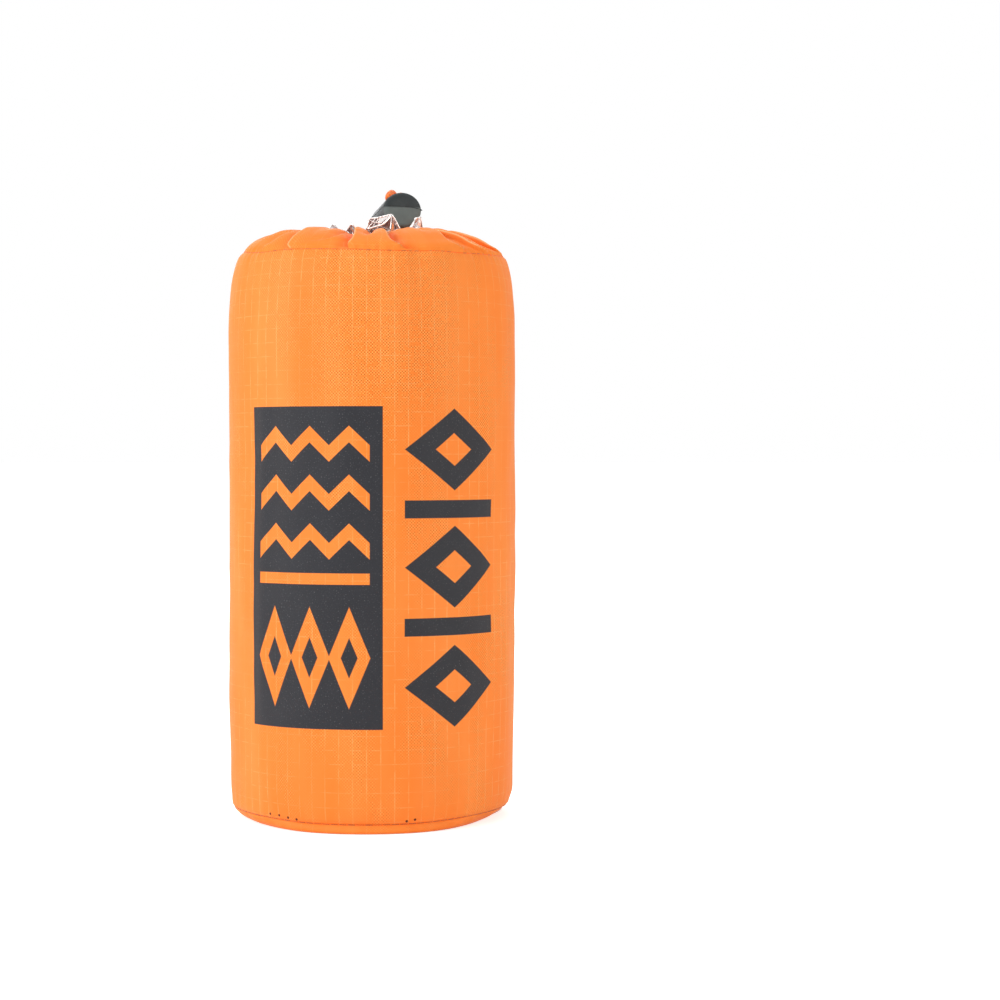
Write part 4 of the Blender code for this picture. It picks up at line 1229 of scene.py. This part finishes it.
# %% Barrel
BARREL_PROFILE = [
    (0, 1.7), (3, 1.7), (3.95, 1.9), (3.95, 17.75), (4.15, 18), (4.8, 18), (5.1, 17.85), (5.2, 17.5), (5.2, 16.9),
    (5.12, 16.75), (5.2, 16.6), (5.2, 9), (5.2, 1.2), (5.14, 0.72), (4.95, 0.36), (4.6, 0.12), (4, 0.03), (2.6, 0),
    (0, -0.02),
]
barrel = turned_in_lock("barrel_shell", BARREL_PROFILE, plastic("barrel plastic", lit_lower_half=True), oval_from=4.3)
cut(barrel, cutter("cord_hole", (-2.8, -8, 8.6), (2.8, 8, 13.8), 0.55), 0.18)
dress(barrel, "lock", "black_plastic", "lock_barrel")

# %% Parting line
seam = [(-5.54, 0.0, 16.4), (-5.54, 0.0, 9.0), (-5.52, 0.05, 1.2), (-5.2, 0.12, 0.4), (-4.3, 0.35, 0.05)]
seam += [(-2.5, 0.7, 0.0), (0.0, 0.92, -0.02), (2.5, 1.02, 0.0), (4.25, 1.1, 0.05), (5.1, 1.15, 0.4)]
seam += [(5.4, 1.15, 1.2), (5.42, 1.15, 9.0), (5.42, 1.15, 16.4)]
net = Net().tube([in_lock(*place) for place in smooth_line(seam, 110)], 0.1, sides=6)
flash = [(-5.2, 0.12, 0.5), (-5.6, 0.0, 0.5), (-5.85, -0.05, 0.5)]
net.tube([in_lock(*place) for place in flash], [0.3, 0.2, 0.05], sides=6)
dress(net.piece("barrel_parting_line", lock_finish), "lock", "black_plastic")

# %% Plunger
PLUNGER_PROFILE = [
    (0, 26.9), (1.6, 26.84), (3, 26.62), (4.1, 26.2), (4.75, 25.7), (5.05, 25.25), (5.1, 24.9), (5, 24.65), (4.7, 24.5),
    (3.9, 24.5), (3.7, 24.3), (3.7, 7.95), (3.62, 7.7), (3.4, 7.6), (2.6, 7.6), (2.6, 9.2), (0, 9.2),
]
plunger = turned_in_lock("plunger_stem_and_head", PLUNGER_PROFILE, lock_finish)
cut(plunger, cutter("stem_slot", (-2.8, -8, 10.3), (2.8, 8, 22.9), 0.4), 0.15)
dress(plunger, "plunger", "black_plastic", "lock_plunger")

# %% [markdown]
# ## The spring
# A small compression spring of steel wire sits between the barrel's floor and the stem. It shortens when the head is
# pressed, so it is a piece that squashes towards the floor as the plunger goes in. Drawn wire is bright but has fine
# lines along it, so the roughness changes with a stretched noise.

# %% Spring
f = Finish("spring wire", Metallic=1.0)
drawn = f.noise(f.vector("MULTIPLY", f.cloth(), (0.6, 30.0, 0.0)), 1.0, 3.0)
f.wear(Base_Color=f.mix(drawn, colour(188, 188, 184), colour(222, 222, 218)), Roughness=0.2 + 0.25 * drawn)
f.wear(Normal=f.bump(drawn, 0.00001))
TURNS, WIRE = 4, 0.25
BARREL_FLOOR, STEM_FLOOR = 1.7, 9.2
low, high = BARREL_FLOOR + WIRE + 0.3, STEM_FLOOR - WIRE - 0.3
turn = np.arange(24 * TURNS + 1) / 24 * math.tau
coil = round_points(1.9, turn, low + (high - low) * turn / (math.tau * TURNS))
spring = Net().tube([in_lock(*place) for place in coil], WIRE, sides=10).piece("spring_wire", f)
dress(spring, "lock", "spring_steel", "lock_spring")
floor_place = in_lock(0, 0, BARREL_FLOOR + WIRE)
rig.squash(spring, "plunger_press", axis=tuple(lock_looks), anchor=tuple(floor_place * MM), keep=0.42)
print("spring of", TURNS, "turns")

# %% [markdown]
# ## The clear film bag
# The tent is packed in a bag of thin clear film, whose neck sticks out of the mouth. Crumpled film doesn't fold
# softly: it breaks into flat facets with sharp white creases between them, and each facet is either nearly invisible
# or a bright mirror. So the neck is a coarse net with flat shading, and every facet gets a random value named gleam
# that the material reads: it makes a facet a mirror and also paints it white, as a painted highlight. The other
# facets are painted dark red, as painted shade of the cloth behind them. Only the rim is written down, because its
# peaks are what shows above the mouth.


# %% Film finish
def clear_film(name, dull_facet_colour, clear):
    """Clear film. The attribute gleam makes a facet a mirror and paints it white, as a painted highlight."""
    f = Finish(name, Specular_IOR_Level=0.8)
    gleam = f.node("Attribute", {"attribute_name": "gleam"}, output=2)
    cloud = f.noise(f.place(), 300.0, 2.0)
    f.wear(Base_Color=f.mix(gleam, colour(*dull_facet_colour), colour(255, 250, 248)), Roughness=0.08 + 0.2 * cloud)
    f.wear(Metallic=0.75 * gleam, Alpha=(clear + 0.75 * gleam + 0.15 * cloud).math("MINIMUM", 0.97))
    return f.wear(Normal=f.bump(cloud, 0.0001))


def white_crease(name):
    f = Finish(name, Specular_IOR_Level=0.8)
    wave = f.noise(f.cloth(), 1.4, 2.0)
    f.wear(Base_Color=f.mix(wave, colour(250, 238, 234), colour(255, 253, 252)), Roughness=0.12 + 0.2 * wave)
    return f.wear(Metallic=0.5 + 0.3 * wave, Alpha=0.8 + 0.2 * wave.step(0.35, 0.6), Normal=f.bump(wave, 0.00003))


# The neck's dull facets are painted dark red: painted shade of the cloth seen through the film.
film_finish = clear_film("clear film", (150, 62, 48), 0.12)
print("the film's finish has", len(film_finish.tree.nodes), "nodes")

# %% Film neck
# The rim of the neck: angle, radius and height of its peaks and dips
RIM = [
    (-180, 11.5, 166), (-166, 12.5, 164.4), (-152, 11.4, 162.9), (-140, 12.6, 162.8), (-129, 12.4, 163.6),
    (-120, 12.8, 163.4), (-112, 13.6, 165.2), (-103, 12.4, 162.4), (-95, 12.9, 163), (-91.5, 13, 166.4),
    (-78, 12.2, 166.9), (-63, 13, 167.8), (-57, 13, 165.6), (-52, 13.3, 163.5), (-44, 12, 162.8), (-36, 13.6, 163.8),
    (-24, 13.3, 166.9), (-17, 12.6, 167.4), (-8, 13.8, 168), (-2, 14, 165), (10, 12.6, 164.2), (24, 12.9, 166.4),
    (40, 11.6, 164.8), (56, 12, 165.8), (76, 10.4, 163.8), (96, 10.2, 163.6), (118, 11.8, 165.8), (138, 12.8, 164.4),
    (158, 11.8, 166.2),
]
# Levels below the rim and inside it: radius, height, share of the rim's own shape, and how far points stray
LEVELS = [
    (25, 152.1, 0, 0.2), (17, 153.4, 0, 0.4), (11.8, 156, 0.1, 0.7), (10.6, 158.6, 0.4, 0.9), (11.2, 161.2, 0.65, 1),
    (12, 163.4, 0.85, 1), (12.5, 165, 1, 0), (10, 162.6, 0.5, 1), (7.6, 160.6, 0.2, 1.3), (4.8, 159.4, 0.1, 1.5),
    (1.6, 159.9, 0, 0.8),
]
RIM_LEVEL = 6
rng = np.random.default_rng(11)
rim = np.array(RIM)
columns = len(rim)
levels = []
for radius, height, share, stray in LEVELS:
    a = np.radians(rim[:, 0] + rng.uniform(-3, 3, columns) * min(stray, 1.0))
    r = radius + (rim[:, 1] - 12.5) * share + rng.uniform(-0.8, 0.8, columns) * stray * min(1, radius / 8)
    z = height + (rim[:, 2] - 165.0) * share + rng.uniform(-0.8, 0.8, columns) * stray
    levels.append(round_points(r, a, z))

shape = bmesh.new()
gleam = shape.faces.layers.float.new("gleam")
corners = [[shape.verts.new(Vector(p) * MM) for p in row] for row in levels]
for lower, upper in zip(corners, corners[1:]):
    for column in range(columns):
        beside = (column + 1) % columns
        a, b, c, d = lower[column], lower[beside], upper[beside], upper[column]
        for three in [(a, b, c), (a, c, d)] if rng.random() < 0.5 else [(a, b, d), (b, c, d)]:
            shape.faces.new(three)[gleam] = rng.choice([0.0, 0.1, 0.5, 1.0], p=[0.4, 0.2, 0.12, 0.28])
edges = [[np.array(v.co) / MM for v in edge.verts] for edge in shape.edges]
neck = dress(from_shape("film_neck", shape, film_finish), "sack", "clear_film")
print("film neck of", len(neck.data.polygons), "facets")

# %% [markdown]
# The creases between the facets and the cut edge of the film catch the light as thin white lines. A line in a
# material would be as wide as its facet is skewed, so they are thin tubes of their own along some of the edges, and
# a few thicker ones where the film of the front flap is folded over.

# %% Creases of the film
# Places along the thickest folds of the front flap, and their half width
WHITE_FOLDS = [
    ([(5.9, -12.1, 167.6), (3.7, -13.2, 165.0), (1.4, -13.7, 164.1), (-0.7, -13.8, 163.5)], 0.3),
    ([(5.9, -12.1, 167.6), (5.8, -12.9, 165.5), (5.6, -13.3, 163.4)], 0.13),
    ([(-0.3, -13.2, 166.2), (1.2, -13.4, 165.4), (3.2, -13.4, 165.3)], 0.14),
    ([(-0.6, -13.1, 163.8), (0.6, -13.5, 165.2), (1.4, -13.2, 166.5)], 0.12),
    ([(6.2, -12.3, 167.5), (7.4, -12.0, 165.4), (8.3, -11.6, 163.6)], 0.2),
]
net = Net()
for start, stop in zip(levels[RIM_LEVEL], np.roll(levels[RIM_LEVEL], -1, axis=0)):
    if np.linalg.norm(stop - start) < 6:
        net.tube(np.linspace(start, stop, 4), 0.22, sides=8)
for fold, size in WHITE_FOLDS:
    net.tube(smooth_line(fold, 12), size, sides=8)
for start, stop in edges:
    if (start[2] + stop[2]) / 2 > 160.5 and rng.random() < 0.45:
        size = rng.uniform(0.06, 0.16)
        net.tube(np.linspace(start, stop, 4), [size * 0.5, size, size, size * 0.5], sides=6)
creased = dress(net.piece("film_creases", white_crease("film crease")), "sack", "clear_film")
print("creases of", len(creased.data.polygons), "faces")

# %% [markdown]
# Below its neck the bag is a plain tube round the roll. It hardly shows, but the sack would be empty without it.

# %% Film body
BAG_PROFILE = [(25.0, 152.0), (32.6, 150.2), (36.2, 147.0), (37.2, 140.0), (37.3, 75.0), (37.2, 7.5), (36.2, 4.4)]
BAG_PROFILE += [(34.6, 2.0), (20.0, 1.8), (0.5, 1.8)]
profile = smooth_line(BAG_PROFILE, 60)
angle, turn = ring_angles(96)
radius, height = profile[:, :1], profile[:, 1:]
radius = radius - 0.15 + 0.12 * soft_noise(angle, height, 7, 21) * blend_in(radius, 5.0, 30.0)
net = Net().add(round_points(radius, turn, height), round_places(np.broadcast_to(height, radius.shape)))
bag = net.piece("film_bag", clear_film("clear film body", (236, 206, 196), 0.3))
dress(bag, "sack", "clear_film", "inner_bag")
print("film bag of", len(bag.data.polygons), "faces")

# %% [markdown]
# ## The rolled tent
# The tent is one large sheet of orange film, folded to the width of the sack and rolled up. A roll is a spiral: the
# sheet is laid along it turn after turn, and its folded edges rise and fall a little from turn to turn.


# %% Tent film
def tent_film(name):
    f = Finish(name, Specular_IOR_Level=0.6)
    crumple = f.node("TexVoronoi", {"feature": "F1"}, {"Vector": f.cloth(), "Scale": 0.16, "Randomness": 1.0})
    fine = f.noise(f.cloth(), 0.8, 4.0, 0.6)
    body = f.mix(crumple.step(0.2, 0.9), colour(236, 96, 30), colour(206, 66, 20))
    body = f.mix(fine * 0.3, body, colour(250, 140, 70))
    return f.wear(Base_Color=body, Roughness=0.25 + 0.25 * fine, Normal=f.bump(crumple * 0.7 + fine * 0.3, 0.0006))


ROLL_TOP = [(0, 149.2), (31, 148.6), (35, 145.4), (36.7, 140)]
ROLL_TURNS, PER_TURN = 15, 64
along = np.arange(ROLL_TURNS * PER_TURN + 1)
turn = along / PER_TURN * math.tau
radius = 2.4 + (36.5 - 2.4) * along / along[-1]
radius[-PER_TURN:] = np.linspace(radius[-PER_TURN], 36.6, PER_TURN)
top = np.interp(radius, *zip(*ROLL_TOP)) - 0.8 + 0.5 * np.sin(turn * 0.37) + 0.3 * np.sin(turn * 1.9)
low = 3.4 + 2.4 * blend_in(radius, 33.0, 36.5) + 0.4 * np.sin(turn * 0.53 + 1)
share = np.linspace(0, 1, 12)[:, None]
height = low + (top - low) * share
wobble = 0.25 * np.sin(turn * 3.3 + share * 5) * (1 - blend_in(radius, 34.0, 36.0))
length = np.cumsum(radius * math.tau / PER_TURN)
places = np.stack(np.broadcast_arrays(length, height), 2)
net = Net().add(round_points(radius + wobble, turn, height), places, round_too=False)
dress(net.piece("tent_film_roll", tent_film("tent film")), "sack", "tent_film", "tent_roll")
print("roll of", ROLL_TURNS, "turns,", round(length[-1] * MM, 1), "m of folded sheet")

# %% [markdown]
# ## The seam inside the wall
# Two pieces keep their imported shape, because they are right as they are: the folded edges of the wall panel inside
# the side seam, and the thread that closes it. They have no cloth map, so their finish is drawn in object space.


# %% Finishes of the side seam
def plain_weave(name, tone, pale):
    f = Finish(name, Sheen_Weight=0.2)
    x, _, z = f.split(f.place())
    weave = (x * 9000.0).math("SINE") * (z * 9000.0).math("SINE") * 0.5 + 0.5
    fluff = f.noise(f.place(), 900.0, 3.0)
    body = f.mix(weave * 0.4 + fluff * 0.3, tone, pale)
    return f.wear(Base_Color=body, Roughness=0.5 + 0.2 * fluff, Normal=f.bump(weave, 0.00008))


for node_name, finish in (
    ("side_seam_allowance", plain_weave("seam cloth", CLOTH, CLOTH_PALE)),
    ("side_seam_thread", plain_weave("seam thread", colour(206, 84, 18), colour(250, 150, 70))),
):
    materials = frame["nodes"][node_name].data.materials
    materials.clear()
    materials.append(finish.material)
print("two packed pieces have a new finish")

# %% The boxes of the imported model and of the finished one
made_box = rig.bounds()
with open("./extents.json", "w") as f:
    json.dump({"packed": [list(c) for c in packed_box], "finished": [list(c) for c in made_box]}, f)
print("finished model, mm:", [[round(x / MM, 1) for x in corner] for corner in made_box])
